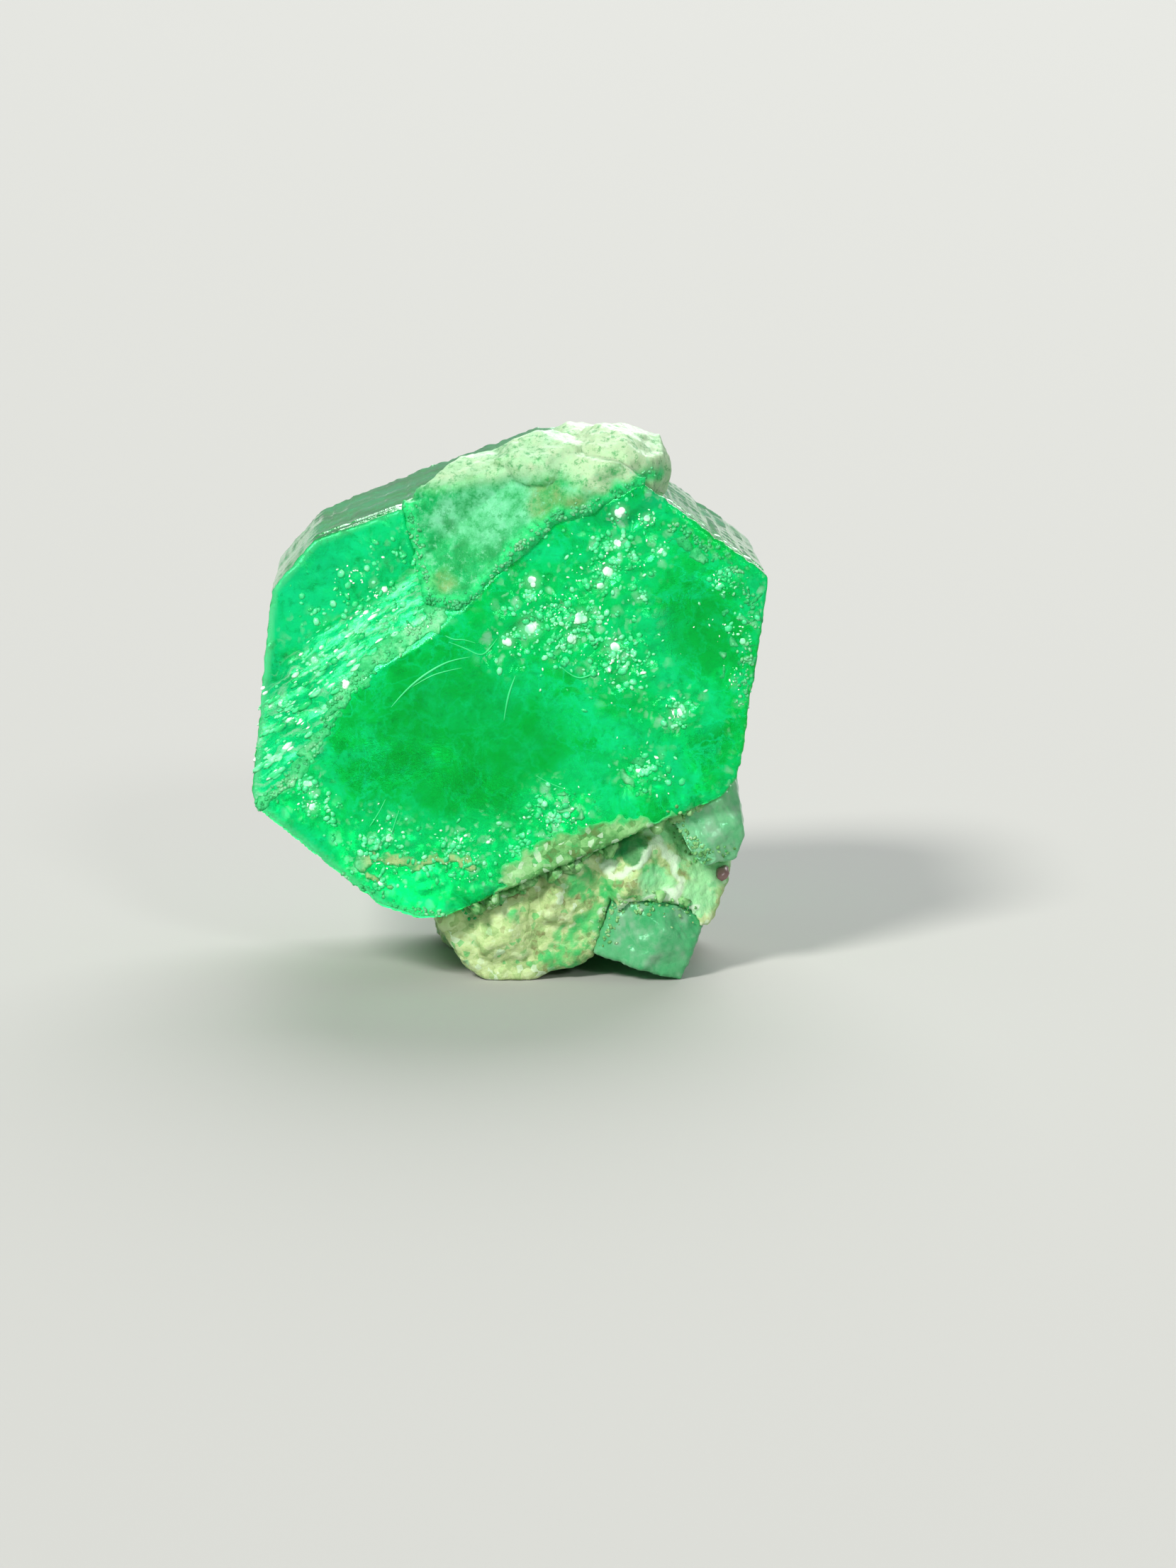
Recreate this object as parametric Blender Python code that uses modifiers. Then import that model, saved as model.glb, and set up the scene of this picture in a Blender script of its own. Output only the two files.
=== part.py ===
# Emerald crystal on matrix: a stubby six-sided prism with a broken, two-level end, a cap of cream calcite over its top
# corner and a foot of granular rock at its lower right, with two small pale crystals grown in the foot.
#
# Sizes are in millimetres and MM turns them into metres. The prism's long axis lies along Y, its broken end faces -Y,
# and the specimen stands on the flat underside of its foot. Depth is counted from the broken end, y = 0, backwards.
# The last step moves everything so that the box around it stands centred on the origin.
import math
import random

import bmesh
import bpy
from mathutils import Matrix, Vector

MM = 0.001
GAP = 0.06                     # room left between pieces that touch

# The prism: its long axis, its length, and each long face as (direction of its normal in degrees, distance).
AXIS_HEIGHT = 4.77
PRISM_LENGTH = 6.0
PRISM_FACES = {
    "left": (174.2, 3.80),
    "upper_left_edge": (139.2, 3.72),
    "upper_left": (110.6, 3.13),
    "top_edge": (86.0, 3.58),
    "upper_right": (53.3, 3.77),
    "right": (-8.5, 3.77),
    "lower_right_edge": (-38.0, 3.72),
    "lower_right": (-66.5, 2.95),
    "bottom_edge_right": (-88.0, 3.62),
    "bottom_edge_left": (-108.4, 3.93),
    "lower_left": (-129.4, 3.96),
    "lower_left_edge": (-160.0, 4.33),
}

# Faces that truncate the back end: (x, y, z) of the normal and the distance from the middle of the prism.
BACK_FACES = {
    "slope_left": ((-0.52, 0.80, 0.12), 4.10),
    "slope_low_left": ((-0.42, 0.78, -0.46), 4.35),
    "slope_top": ((0.10, 0.72, 0.68), 4.45),
    "slope_right": ((0.66, 0.75, 0.05), 4.75),
}
BACK_CHIP_CENTRE = (-4.6, 7.4, 7.9)
BACK_CHIP_RADIUS = 3.1

# Ledges broken out of the back end: the corners of the outline as (x, z) from the axis with the sag of the shell-like
# arc to the next corner, the depth of the ledge at the axis, how much deeper it gets for each millimetre to the right
# and up, and how far its wall leans over (x, z) for each millimetre backwards.
BACK_LEDGES = {
    "top": (
        ((-5.0, 1.62, -0.10), (-2.95, 1.30, -0.24), (-1.72, 1.66, -0.06), (-1.20, 1.98, -0.36), (0.85, 2.22, -0.04),
         (1.32, 1.98, -0.20), (2.40, 2.20, 0.0), (5.0, 2.30, 0.0), (5.0, 5.0, 0.0), (-5.0, 5.0, 0.0)),
        (5.70, 0.02, -0.10), (0.10, -0.80),
    ),
    "low": (
        ((1.9, -5.0, 0.0), (0.96, -3.12, -0.16), (0.02, -2.86, -0.04), (-0.42, -2.52, -0.42), (-2.60, -2.06, -0.05),
         (-2.95, -1.62, -0.12), (-5.0, -1.15, 0.0), (-5.0, -5.0, 0.0)),
        (5.58, 0.06, 0.05), (0.25, 0.85),
    ),
    "right": (
        ((5.0, 1.30, 0.0), (3.15, 1.22, -0.26), (2.62, -0.10, -0.04), (2.84, -0.62, -0.22), (2.46, -1.72, 0.0),
         (5.0, -2.6, 0.0)),
        (5.78, -0.08, 0.03), (-0.75, 0.05),
    ),
    "spall": (
        ((-2.45, 0.05, 0.16), (-1.72, 0.42, 0.10), (-1.02, 0.20, 0.05), (-0.72, -0.52, 0.12), (-1.36, -0.98, 0.06),
         (-2.30, -0.72, 0.12)),
        (5.91, 0.0, -0.11), (0.0, 0.0),
    ),
}

# Growth steps across two long faces, near the broken end: face, depth from the end, width and depth of the notch.
RIM_NOTCHES = (
    ("upper_left", 0.62, 0.10, 0.045), ("upper_left", 1.05, 0.14, 0.040), ("upper_right", 0.78, 0.12, 0.040),
)

# The broken end. The crest is where the high level ends and the foot is the bottom of the slope below it, as (x, z)
# from the axis, from the lower left corner of the prism up to its top. The low level is a plane.
BREAK_CREST = (
    (-4.60, -2.22), (-3.98, -1.98), (-3.55, -1.72), (-3.22, -1.42), (-2.90, -1.02), (-2.72, -0.62), (-2.52, -0.24),
    (-2.04, 0.26), (-1.33, 0.65), (-0.68, 1.17), (-0.30, 1.62), (0.16, 2.14), (0.74, 2.66), (1.25, 3.17), (1.90, 3.95),
)
BREAK_FOOT = (
    (-4.80, -2.10), (-4.35, -1.60), (-4.10, -1.10), (-3.92, -0.60), (-3.75, -0.05), (-3.52, 0.30), (-3.20, 0.62),
    (-2.70, 0.98), (-2.02, 1.30), (-1.44, 1.80), (-1.02, 2.20), (-0.50, 2.66), (0.10, 3.24), (0.66, 3.80), (1.20, 4.60),
)
LOW_LEVEL_DEPTH = 0.30         # at the height of the axis
LOW_LEVEL_SLOPE = 0.09         # further back for each millimetre up
BREAK_REACH = 3.0              # how far the low level is cut past the foot of the slope
BREAK_OVERSHOOT = 1.5          # how far the cutter stands in front of the high level

# Lengthwise growth grooves: face, place across the face, width and depth.
GROOVES = (
    ("upper_left", -1.05, 0.16, 0.030), ("upper_left", -0.25, 0.10, 0.025), ("upper_left", 0.55, 0.20, 0.035),
    ("upper_right", -1.20, 0.18, 0.030), ("upper_right", 0.10, 0.12, 0.025), ("upper_right", 0.95, 0.22, 0.035),
    ("right", -0.80, 0.20, 0.030), ("right", 0.35, 0.12, 0.025),
    ("left", -0.95, 0.18, 0.030), ("left", 0.20, 0.12, 0.025), ("left", 0.90, 0.16, 0.030),
    ("lower_left", -0.60, 0.18, 0.030), ("lower_left", 0.45, 0.12, 0.025),
)

# The foot's outline seen from the broken end, as (x, height above the ground), and the depths it runs between.
FOOT_OUTLINE = (
    (-1.22, 1.02), (-0.98, 0.68), (-0.74, 0.30), (-0.42, 0.02), (-0.20, -0.20), (0.30, -0.20), (0.52, 0.04),
    (0.70, 0.15), (1.00, 0.19), (1.26, 0.36), (1.56, 0.43), (2.00, 0.36), (2.60, 0.32), (2.98, 0.68), (3.27, 0.99),
    (3.46, 1.48), (3.57, 1.85), (3.50, 2.16), (3.66, 2.55), (3.60, 3.15), (2.80, 3.70), (-0.60, 2.10),
)
FOOT_FRONT = 0.50
FOOT_BACK = 3.60
FOOT_BEVEL = 0.16

# Planes where the foot's own corners broke off: a place (x, depth, height) and the normal.
FOOT_BREAKS = (
    ((2.95, 2.55, 1.80), (0.74, 0.62, 0.26)), ((3.30, 1.95, 2.72), (0.66, 0.34, 0.67)),
    ((1.60, 3.20, 2.10), (0.12, 0.80, 0.58)), ((-0.75, 3.00, 1.00), (-0.62, 0.74, 0.26)),
    ((3.20, 0.85, 1.25), (0.55, -0.80, 0.20)),
)

# Lumps of rock grown over it, each hewn by flat faces: centre (x, depth, height), radii, number of faces and seed.
FOOT_LUMPS = {
    "front_left": ((-0.02, 1.20, 0.92), (0.84, 0.98, 0.82), 20, 3),
    "front_middle": ((0.92, 1.30, 1.42), (0.76, 1.08, 0.92), 18, 8),
    "front_right": ((2.00, 1.35, 1.72), (0.98, 1.10, 0.98), 20, 5),
    "right_shoulder": ((2.72, 2.30, 1.75), (0.72, 1.45, 0.85), 16, 14),
    "back_left": ((-0.22, 3.70, 0.62), (0.92, 1.40, 0.90), 20, 21),
    "back_middle": ((1.20, 3.95, 0.90), (1.15, 1.20, 1.15), 20, 34),
    "back_right": ((2.35, 3.55, 0.95), (0.86, 1.25, 1.20), 18, 55),
}
CAP_LUMPS = {
    "knob": ((1.66, 1.20, 8.02), (0.80, 1.05, 0.72), 40, 4),
    "knob_back": ((1.25, 2.35, 8.02), (0.76, 1.00, 0.58), 34, 9),
    "ridge": ((0.62, 1.05, 8.10), (0.84, 0.86, 0.46), 30, 12),
    "streak": ((-0.40, 0.95, 7.86), (1.36, 0.46, 0.24), 30, 7),
}
STREAK_TILT = 20.6             # the streak follows the upper left face, degrees

# The veneer of rock set into the front of the top corner: its outline, from the axis, and its depth.
VENEER_OUTLINE = (
    (-1.62, 3.10), (-1.50, 2.55), (-1.36, 1.95), (-1.20, 1.30), (-0.72, 1.22), (-0.36, 1.60), (0.16, 2.12),
    (0.74, 2.62), (1.26, 2.76), (2.30, 3.30), (2.60, 4.20), (0.60, 4.60), (-1.00, 3.90),
)
VENEER_BACK = 0.85

# Small pale crystals in the foot: middle, then faces as normal and distance.
PALE_POINT_MIDDLE = (2.30, 1.30, 0.66)
PALE_POINT_FACES = (
    ((-0.32, -0.10, -0.94), 0.58), ((0.92, -0.05, -0.38), 0.66), ((0.90, 0.05, 0.42), 0.74),
    ((0.20, 0.05, 0.98), 0.52), ((-0.94, 0.02, 0.33), 0.80), ((-0.28, -0.95, 0.14), 1.02),
    ((0.36, -0.91, -0.20), 1.00), ((-0.10, 0.99, 0.05), 1.15), ((0.10, -0.80, 0.60), 1.00),
    ((0.55, 0.78, 0.30), 0.82), ((0.48, 0.74, -0.46), 0.80), ((0.62, -0.72, 0.32), 0.92),
)
PALE_PLATE_MIDDLE = (3.20, 1.15, 2.48)
PALE_PLATE_FACES = (
    ((-0.84, 0.05, -0.54), 0.40), ((0.975, -0.05, 0.21), 0.50), ((0.955, 0.02, -0.30), 0.50),
    ((0.10, -0.98, 0.16), 0.86), ((-0.05, 0.99, 0.05), 0.90), ((-0.20, -0.05, 0.98), 0.90),
    ((0.45, -0.85, -0.25), 0.84), ((0.15, -0.10, -0.98), 0.66), ((0.66, 0.66, 0.36), 0.70),
    ((0.60, 0.62, -0.50), 0.68), ((0.70, -0.55, 0.46), 0.74),
)

COLOURS = {
    "emerald": ((0.01, 0.52, 0.10), 0.08),
    "matrix": ((0.50, 0.60, 0.32), 0.75),
    "calcite": ((0.78, 0.90, 0.62), 0.55),
    "pale_beryl": ((0.30, 0.75, 0.42), 0.25),
}


def make_material(name):
    colour, roughness = COLOURS[name]
    material = bpy.data.materials.new(name)
    material.use_nodes = True
    surface = material.node_tree.nodes["Principled BSDF"]
    surface.inputs["Base Color"].default_value = (*colour, 1.0)
    surface.inputs["Roughness"].default_value = roughness
    surface.inputs["Metallic"].default_value = 0.0
    return material


def add_object(name, bm, collection):
    bmesh.ops.recalc_face_normals(bm, faces=bm.faces)
    mesh = bpy.data.meshes.new(name)
    bm.to_mesh(mesh)
    bm.free()
    obj = bpy.data.objects.new(name, mesh)
    collection.objects.link(obj)
    return obj


def add_cutter(name, bm, collection):
    cutter = add_object(name, bm, collection)
    cutter.hide_render = True
    cutter.display_type = "WIRE"
    return cutter


def cleave(bm, normal, distance, middle):
    # Takes off what lies past a plane, and closes the cut with one flat face.
    normal = Vector(normal).normalized()
    point = (Vector(middle) + normal * distance) * MM
    parts = bm.verts[:] + bm.edges[:] + bm.faces[:]
    cut = bmesh.ops.bisect_plane(bm, geom=parts, dist=1e-9, plane_co=point, plane_no=normal, clear_outer=True)
    rim = [item for item in cut["geom_cut"] if isinstance(item, bmesh.types.BMEdge)]
    if rim:
        bmesh.ops.contextual_create(bm, geom=rim)


def hewn_block(middle, faces, grow=0.0):
    # A convex crystal: a block cut by its faces, which all stand out by grow.
    bm = bmesh.new()
    bmesh.ops.create_cube(bm, size=30 * MM, matrix=Matrix.Translation(Vector(middle) * MM))
    for normal, distance in faces:
        cleave(bm, normal, distance + grow, middle)
    return bm


def prism_block(grow=0.0):
    middle = (0.0, PRISM_LENGTH / 2, AXIS_HEIGHT)
    faces = [((0, -1, 0), PRISM_LENGTH / 2), ((0, 1, 0), PRISM_LENGTH / 2)]
    for angle, distance in PRISM_FACES.values():
        turn = math.radians(angle)
        faces.append(((math.cos(turn), 0, math.sin(turn)), distance))
    faces += BACK_FACES.values()
    return hewn_block(middle, faces, grow)


def from_axis(place, depth):
    x, z = place
    return Vector((x, depth, AXIS_HEIGHT + z)) * MM


def low_level(z):
    return LOW_LEVEL_DEPTH + LOW_LEVEL_SLOPE * z


def break_cutter():
    # The slope and the low level as one sheet, drawn out towards the front into a solid.
    bm = bmesh.new()
    away = Vector((-1, 1)).normalized() * BREAK_REACH
    rows = ([], [], [])
    for crest, foot in zip(BREAK_CREST, BREAK_FOOT):
        far = (foot[0] + away.x, foot[1] + away.y)
        rows[0].append(bm.verts.new(from_axis(crest, -0.01)))
        rows[1].append(bm.verts.new(from_axis(foot, low_level(foot[1]))))
        rows[2].append(bm.verts.new(from_axis(far, low_level(far[1]))))
    for near, far in zip(rows, rows[1:]):
        for i in range(len(near) - 1):
            bm.faces.new((near[i], near[i + 1], far[i + 1], far[i]))
    bmesh.ops.triangulate(bm, faces=bm.faces)
    sheet = bmesh.ops.extrude_face_region(bm, geom=bm.faces[:])
    for item in sheet["geom"]:
        if isinstance(item, bmesh.types.BMVert):
            item.co.y = -BREAK_OVERSHOOT * MM
    return bm


def groove_cutter():
    # Three-sided bars laid along the long faces, which leave shallow V grooves.
    bm = bmesh.new()
    for face, across, width, depth in GROOVES:
        angle, distance = PRISM_FACES[face]
        turn = math.radians(angle)
        normal = Vector((math.cos(turn), 0, math.sin(turn)))
        side = Vector((-math.sin(turn), 0, math.cos(turn)))
        middle = Vector((0, 0, AXIS_HEIGHT)) + side * across
        corners = (
            middle + normal * (distance - depth),
            middle + normal * (distance + depth) + side * width,
            middle + normal * (distance + depth) - side * width,
        )
        outline = [bm.verts.new((corner + Vector((0, -1, 0))) * MM) for corner in corners]
        bar = bmesh.ops.extrude_face_region(bm, geom=[bm.faces.new(outline)])
        for item in bar["geom"]:
            if isinstance(item, bmesh.types.BMVert):
                item.co.y += (PRISM_LENGTH + 2) * MM
    return bm


def chip_cutter():
    bm = bmesh.new()
    place = Matrix.Translation(Vector(BACK_CHIP_CENTRE) * MM)
    bmesh.ops.create_icosphere(bm, subdivisions=4, radius=BACK_CHIP_RADIUS * MM, matrix=place)
    return bm


def shell_outline(corners):
    # Points along the corners, with an arc of the given sag between each corner and the next.
    points = []
    for i, (x, z, sag) in enumerate(corners):
        here = Vector((x, z))
        run = Vector(corners[(i + 1) % len(corners)][:2]) - here
        aside = Vector((-run.y, run.x)).normalized()
        steps = 6 if sag else 1
        for step in range(steps):
            part = step / steps
            points.append(here + run * part + aside * sag * 4 * part * (1 - part))
    return points


def ledge_cutter(corners, floor, lean):
    # An outline drawn out from the ledge's sloping floor to beyond the back end.
    depth, per_x, per_z = floor
    outline = [(x, AXIS_HEIGHT + z) for x, z in shell_outline(corners)]
    bm = drawn_outline(outline, 0, PRISM_LENGTH + 1)
    for vert in bm.verts:
        if vert.co.y < MM:
            vert.co.y = depth * MM + per_x * vert.co.x + per_z * (vert.co.z - AXIS_HEIGHT * MM)
        else:
            vert.co += Vector((lean[0], 0, lean[1])) * (PRISM_LENGTH + 1 - depth) * MM
    return bm


def notch_cutter():
    # Three-sided bars laid across the long faces.
    bm = bmesh.new()
    for face, place, width, depth in RIM_NOTCHES:
        angle, distance = PRISM_FACES[face]
        turn = math.radians(angle)
        normal = Vector((math.cos(turn), 0, math.sin(turn)))
        side = Vector((-math.sin(turn), 0, math.cos(turn)))
        start = Vector((0, place, AXIS_HEIGHT)) - side * 3
        corners = (
            start + normal * (distance - depth),
            start + normal * (distance + depth) + Vector((0, width, 0)),
            start + normal * (distance + depth) - Vector((0, width, 0)),
        )
        outline = [bm.verts.new(corner * MM) for corner in corners]
        bar = bmesh.ops.extrude_face_region(bm, geom=[bm.faces.new(outline)])
        verts = [item for item in bar["geom"] if isinstance(item, bmesh.types.BMVert)]
        bmesh.ops.translate(bm, vec=side * 6 * MM, verts=verts)
    return bm


def beyond_plane(place, normal):
    # A block with one face on a plane.
    normal = Vector(normal).normalized()
    bm = bmesh.new()
    turn = normal.to_track_quat("Z", "Y").to_matrix().to_4x4()
    matrix = Matrix.Translation((Vector(place) + normal * 4) * MM) @ turn
    bmesh.ops.create_cube(bm, size=8 * MM, matrix=matrix)
    return bm


def rock_lump(centre, radii, faces, seed, tilt=0.0, grow=0.0):
    # A stretched ball hewn by flat faces, spread evenly around it and jittered.
    draw = random.Random(seed)
    bm = bmesh.new()
    bmesh.ops.create_cube(bm, size=8 * MM)
    for i in range(faces):
        height = 1 - 2 * (i + 0.5) / faces
        turn = i * math.pi * (3 - math.sqrt(5)) + draw.uniform(-0.4, 0.4)
        level = math.sqrt(1 - height ** 2)
        normal = (level * math.cos(turn), level * math.sin(turn), height)
        reach = math.sqrt(sum((radius * value) ** 2 for radius, value in zip(radii, normal)))
        cleave(bm, normal, reach * draw.uniform(0.86, 1.0) + grow, (0, 0, 0))
    turn = Matrix.Rotation(math.radians(-tilt), 4, "Y")
    bmesh.ops.transform(bm, matrix=Matrix.Translation(Vector(centre) * MM) @ turn, verts=bm.verts)
    return bm


def drawn_outline(outline, front, back):
    # A closed outline of (x, z) drawn out along the depth.
    bm = bmesh.new()
    face = bm.faces.new([bm.verts.new(Vector((x, front, z)) * MM) for x, z in outline])
    body = bmesh.ops.extrude_face_region(bm, geom=[face])
    for item in body["geom"]:
        if isinstance(item, bmesh.types.BMVert):
            item.co.y = back * MM
    return bm


def veneer_slab(grow=0.0):
    outline = [Vector((x, AXIS_HEIGHT + z)) for x, z in VENEER_OUTLINE]
    middle = sum(outline, Vector((0, 0))) / len(outline)
    grown = [point + (point - middle).normalized() * grow for point in outline]
    return drawn_outline(grown, -BREAK_OVERSHOOT / 2, VENEER_BACK + grow)


def add_boolean(obj, operation, other):
    modifier = obj.modifiers.new(operation.lower(), "BOOLEAN")
    modifier.operation = operation
    modifier.solver = "EXACT"
    if isinstance(other, bpy.types.Collection):
        modifier.operand_type = "COLLECTION"
        modifier.collection = other
    else:
        modifier.object = other


def make_emerald(parts, cutters, cap_bed):
    emerald = add_object("emerald_crystal", prism_block(), parts)
    add_boolean(emerald, "DIFFERENCE", cutters.objects["break"])
    add_boolean(emerald, "DIFFERENCE", add_cutter("grooves", groove_cutter(), cutters))
    add_boolean(emerald, "DIFFERENCE", add_cutter("notches", notch_cutter(), cutters))
    for name, ledge in BACK_LEDGES.items():
        add_boolean(emerald, "DIFFERENCE", add_cutter(name + "_ledge", ledge_cutter(*ledge), cutters))
    add_boolean(emerald, "DIFFERENCE", add_cutter("chip", chip_cutter(), cutters))
    add_boolean(emerald, "DIFFERENCE", cap_bed)
    return emerald


def cap_lump(name, grow=0.0):
    centre, radii, faces, seed = CAP_LUMPS[name]
    tilt = STREAK_TILT if name == "streak" else 0.0
    return rock_lump(centre, radii, faces, seed, tilt, grow)


def make_cap(parts, cutters, lumps, bed):
    # The lumps of the cap in one collection, and in another the same, a little larger, as the bed they sit in.
    cap = add_object("calcite_cap", cap_lump("knob"), parts)
    add_cutter("knob_bed", cap_lump("knob", GAP), bed)
    for name in list(CAP_LUMPS)[1:]:
        add_cutter(name, cap_lump(name), lumps)
        add_cutter(name + "_bed", cap_lump(name, GAP), bed)
    veneer = add_cutter("veneer", veneer_slab(), lumps)
    add_cutter("veneer_bed", veneer_slab(GAP), bed)
    add_boolean(veneer, "DIFFERENCE", cutters.objects["break"])
    add_boolean(veneer, "INTERSECT", add_cutter("prism_whole", prism_block(), cutters))
    add_boolean(cap, "UNION", lumps)
    return cap


def make_foot(parts, cutters, lumps):
    foot = add_object("matrix_foot", drawn_outline(FOOT_OUTLINE, FOOT_FRONT, FOOT_BACK), parts)
    edges = foot.modifiers.new("worn edges", "BEVEL")
    edges.width = FOOT_BEVEL * MM
    edges.segments = 2
    for number, (place, normal) in enumerate(FOOT_BREAKS):
        add_boolean(foot, "DIFFERENCE", add_cutter(f"foot_break_{number}", beyond_plane(place, normal), cutters))
    for name, (centre, radii, faces, seed) in FOOT_LUMPS.items():
        add_cutter(name, rock_lump(centre, radii, faces, seed), lumps)
    add_boolean(foot, "UNION", lumps)
    for name in ("prism_bed", "point_bed", "plate_bed", "ground"):
        add_boolean(foot, "DIFFERENCE", cutters.objects[name])
    return foot


def make_pale_crystal(name, middle, faces, parts, cutters):
    crystal = add_object(name, hewn_block(middle, faces), parts)
    add_boolean(crystal, "DIFFERENCE", cutters.objects["prism_bed"])
    add_boolean(crystal, "DIFFERENCE", cutters.objects["ground"])
    return crystal


def add_ground(cutters):
    # What lies below the flat underside.
    bm = bmesh.new()
    bmesh.ops.create_cube(bm, size=20 * MM, matrix=Matrix.Translation((0, 0, -10 * MM)))
    return add_cutter("ground", bm, cutters)


def add_collection(name):
    collection = bpy.data.collections.new(name)
    bpy.context.scene.collection.children.link(collection)
    return collection


def stand_on_origin(parts, helpers):
    # The box around the pieces stands centred on the origin.
    bpy.context.view_layer.update()
    graph = bpy.context.evaluated_depsgraph_get()
    points = []
    for obj in parts.objects:
        points += [vert.co.copy() for vert in obj.evaluated_get(graph).data.vertices]
    low = Vector([min(point[axis] for point in points) for axis in range(3)])
    high = Vector([max(point[axis] for point in points) for axis in range(3)])
    shift = Matrix.Translation((-(low.x + high.x) / 2, -(low.y + high.y) / 2, -low.z))
    for collection in (parts, *helpers):
        for obj in collection.objects:
            obj.data.transform(shift)


def main():
    for obj in list(bpy.data.objects):
        bpy.data.objects.remove(obj)
    parts = add_collection("emerald_on_matrix")
    cutters = add_collection("cutters")
    cap_lumps = add_collection("cap_lumps")
    cap_bed = add_collection("cap_bed")
    foot_lumps = add_collection("foot_lumps")
    add_ground(cutters)
    add_cutter("break", break_cutter(), cutters)
    add_cutter("prism_bed", prism_block(GAP), cutters)
    add_cutter("point_bed", hewn_block(PALE_POINT_MIDDLE, PALE_POINT_FACES, GAP), cutters)
    add_cutter("plate_bed", hewn_block(PALE_PLATE_MIDDLE, PALE_PLATE_FACES, GAP), cutters)
    pieces = {
        make_cap(parts, cutters, cap_lumps, cap_bed): "calcite",
        make_emerald(parts, cutters, cap_bed): "emerald",
        make_foot(parts, cutters, foot_lumps): "matrix",
    }
    point = make_pale_crystal("pale_crystal_point", PALE_POINT_MIDDLE, PALE_POINT_FACES, parts, cutters)
    plate = make_pale_crystal("pale_crystal_plate", PALE_PLATE_MIDDLE, PALE_PLATE_FACES, parts, cutters)
    pieces[point] = "pale_beryl"
    pieces[plate] = "pale_beryl"
    for obj, material in pieces.items():
        obj.data.materials.append(bpy.data.materials.get(material) or make_material(material))
    stand_on_origin(parts, (cutters, cap_lumps, cap_bed, foot_lumps))


main()
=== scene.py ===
import math
import random

import bmesh
import bpy
from mathutils import Matrix, Vector, noise


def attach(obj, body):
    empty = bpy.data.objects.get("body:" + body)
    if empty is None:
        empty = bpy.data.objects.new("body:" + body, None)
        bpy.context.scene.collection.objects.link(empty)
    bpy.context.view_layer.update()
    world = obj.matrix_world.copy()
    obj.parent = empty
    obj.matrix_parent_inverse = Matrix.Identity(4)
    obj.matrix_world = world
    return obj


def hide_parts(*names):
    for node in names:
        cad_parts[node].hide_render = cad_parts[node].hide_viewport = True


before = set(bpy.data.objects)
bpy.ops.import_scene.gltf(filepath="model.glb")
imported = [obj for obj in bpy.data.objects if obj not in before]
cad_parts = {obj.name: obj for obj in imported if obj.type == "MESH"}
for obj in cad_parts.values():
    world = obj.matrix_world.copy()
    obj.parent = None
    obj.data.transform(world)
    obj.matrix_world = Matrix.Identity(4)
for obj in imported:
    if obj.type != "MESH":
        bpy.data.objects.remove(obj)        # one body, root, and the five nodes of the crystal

mm = 0.001
noise.seed_set(7)        # without it the vector noise is another one in each run
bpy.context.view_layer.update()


def toLinear(hexColour):
    channels = [int(hexColour[i:i + 2], 16) / 255 for i in (1, 3, 5)]
    return tuple(c / 12.92 if c <= 0.04045 else ((c + 0.055) / 1.055) ** 2.4 for c in channels) + (1.0,)


def smoothStep(low, high, value):
    t = min(max((value - low) / (high - low), 0.0), 1.0)
    return t * t * (3 - 2 * t)


def blobs(x, z, places):
    # How far a place lies inside soft round patches, each given as (x, z, radius)
    shares = (1 - smoothStep(0.45, 1.0, math.hypot(x - cx, z - cz) / radius) for cx, cz, radius in places)
    return max(shares, default=0.0)


def beyondLine(x, z, points):
    # Distance from a broken line, positive on its upper left side
    best = 1e9
    for (ax, az), (bx, bz) in zip(points, points[1:]):
        dx, dz = bx - ax, bz - az
        t = min(max(((x - ax) * dx + (z - az) * dz) / (dx * dx + dz * dz), 0.0), 1.0)
        px, pz = x - ax - t * dx, z - az - t * dz
        gap = math.hypot(px, pz)
        if gap < abs(best):
            best = gap if dx * pz - dz * px > 0 else -gap
    return best


def cells(place, size):
    # Distance to the nearest and to the second nearest cell centre, in cells
    near = noise.voronoi(place / size)[0]
    return near[0], near[1]


def wave(place, size):
    return noise.noise(place / size)


def shift(place, size):
    return noise.noise_vector(place / size)


def rough(place, size, octaves=3):
    return noise.fractal(place / size, 1.0, 2.1, octaves)


def addObject(name, data):
    item = bpy.data.objects.new(name, data)
    bpy.context.scene.collection.objects.link(item)
    return item


def builtMesh(item):
    # The mesh that an object's modifiers or its curve make
    bpy.context.view_layer.update()
    return bpy.data.meshes.new_from_object(item.evaluated_get(bpy.context.evaluated_depsgraph_get()))


def toMillimetres(shape):
    bmesh.ops.scale(shape, vec=(1 / mm, 1 / mm, 1 / mm), verts=shape.verts)


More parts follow.
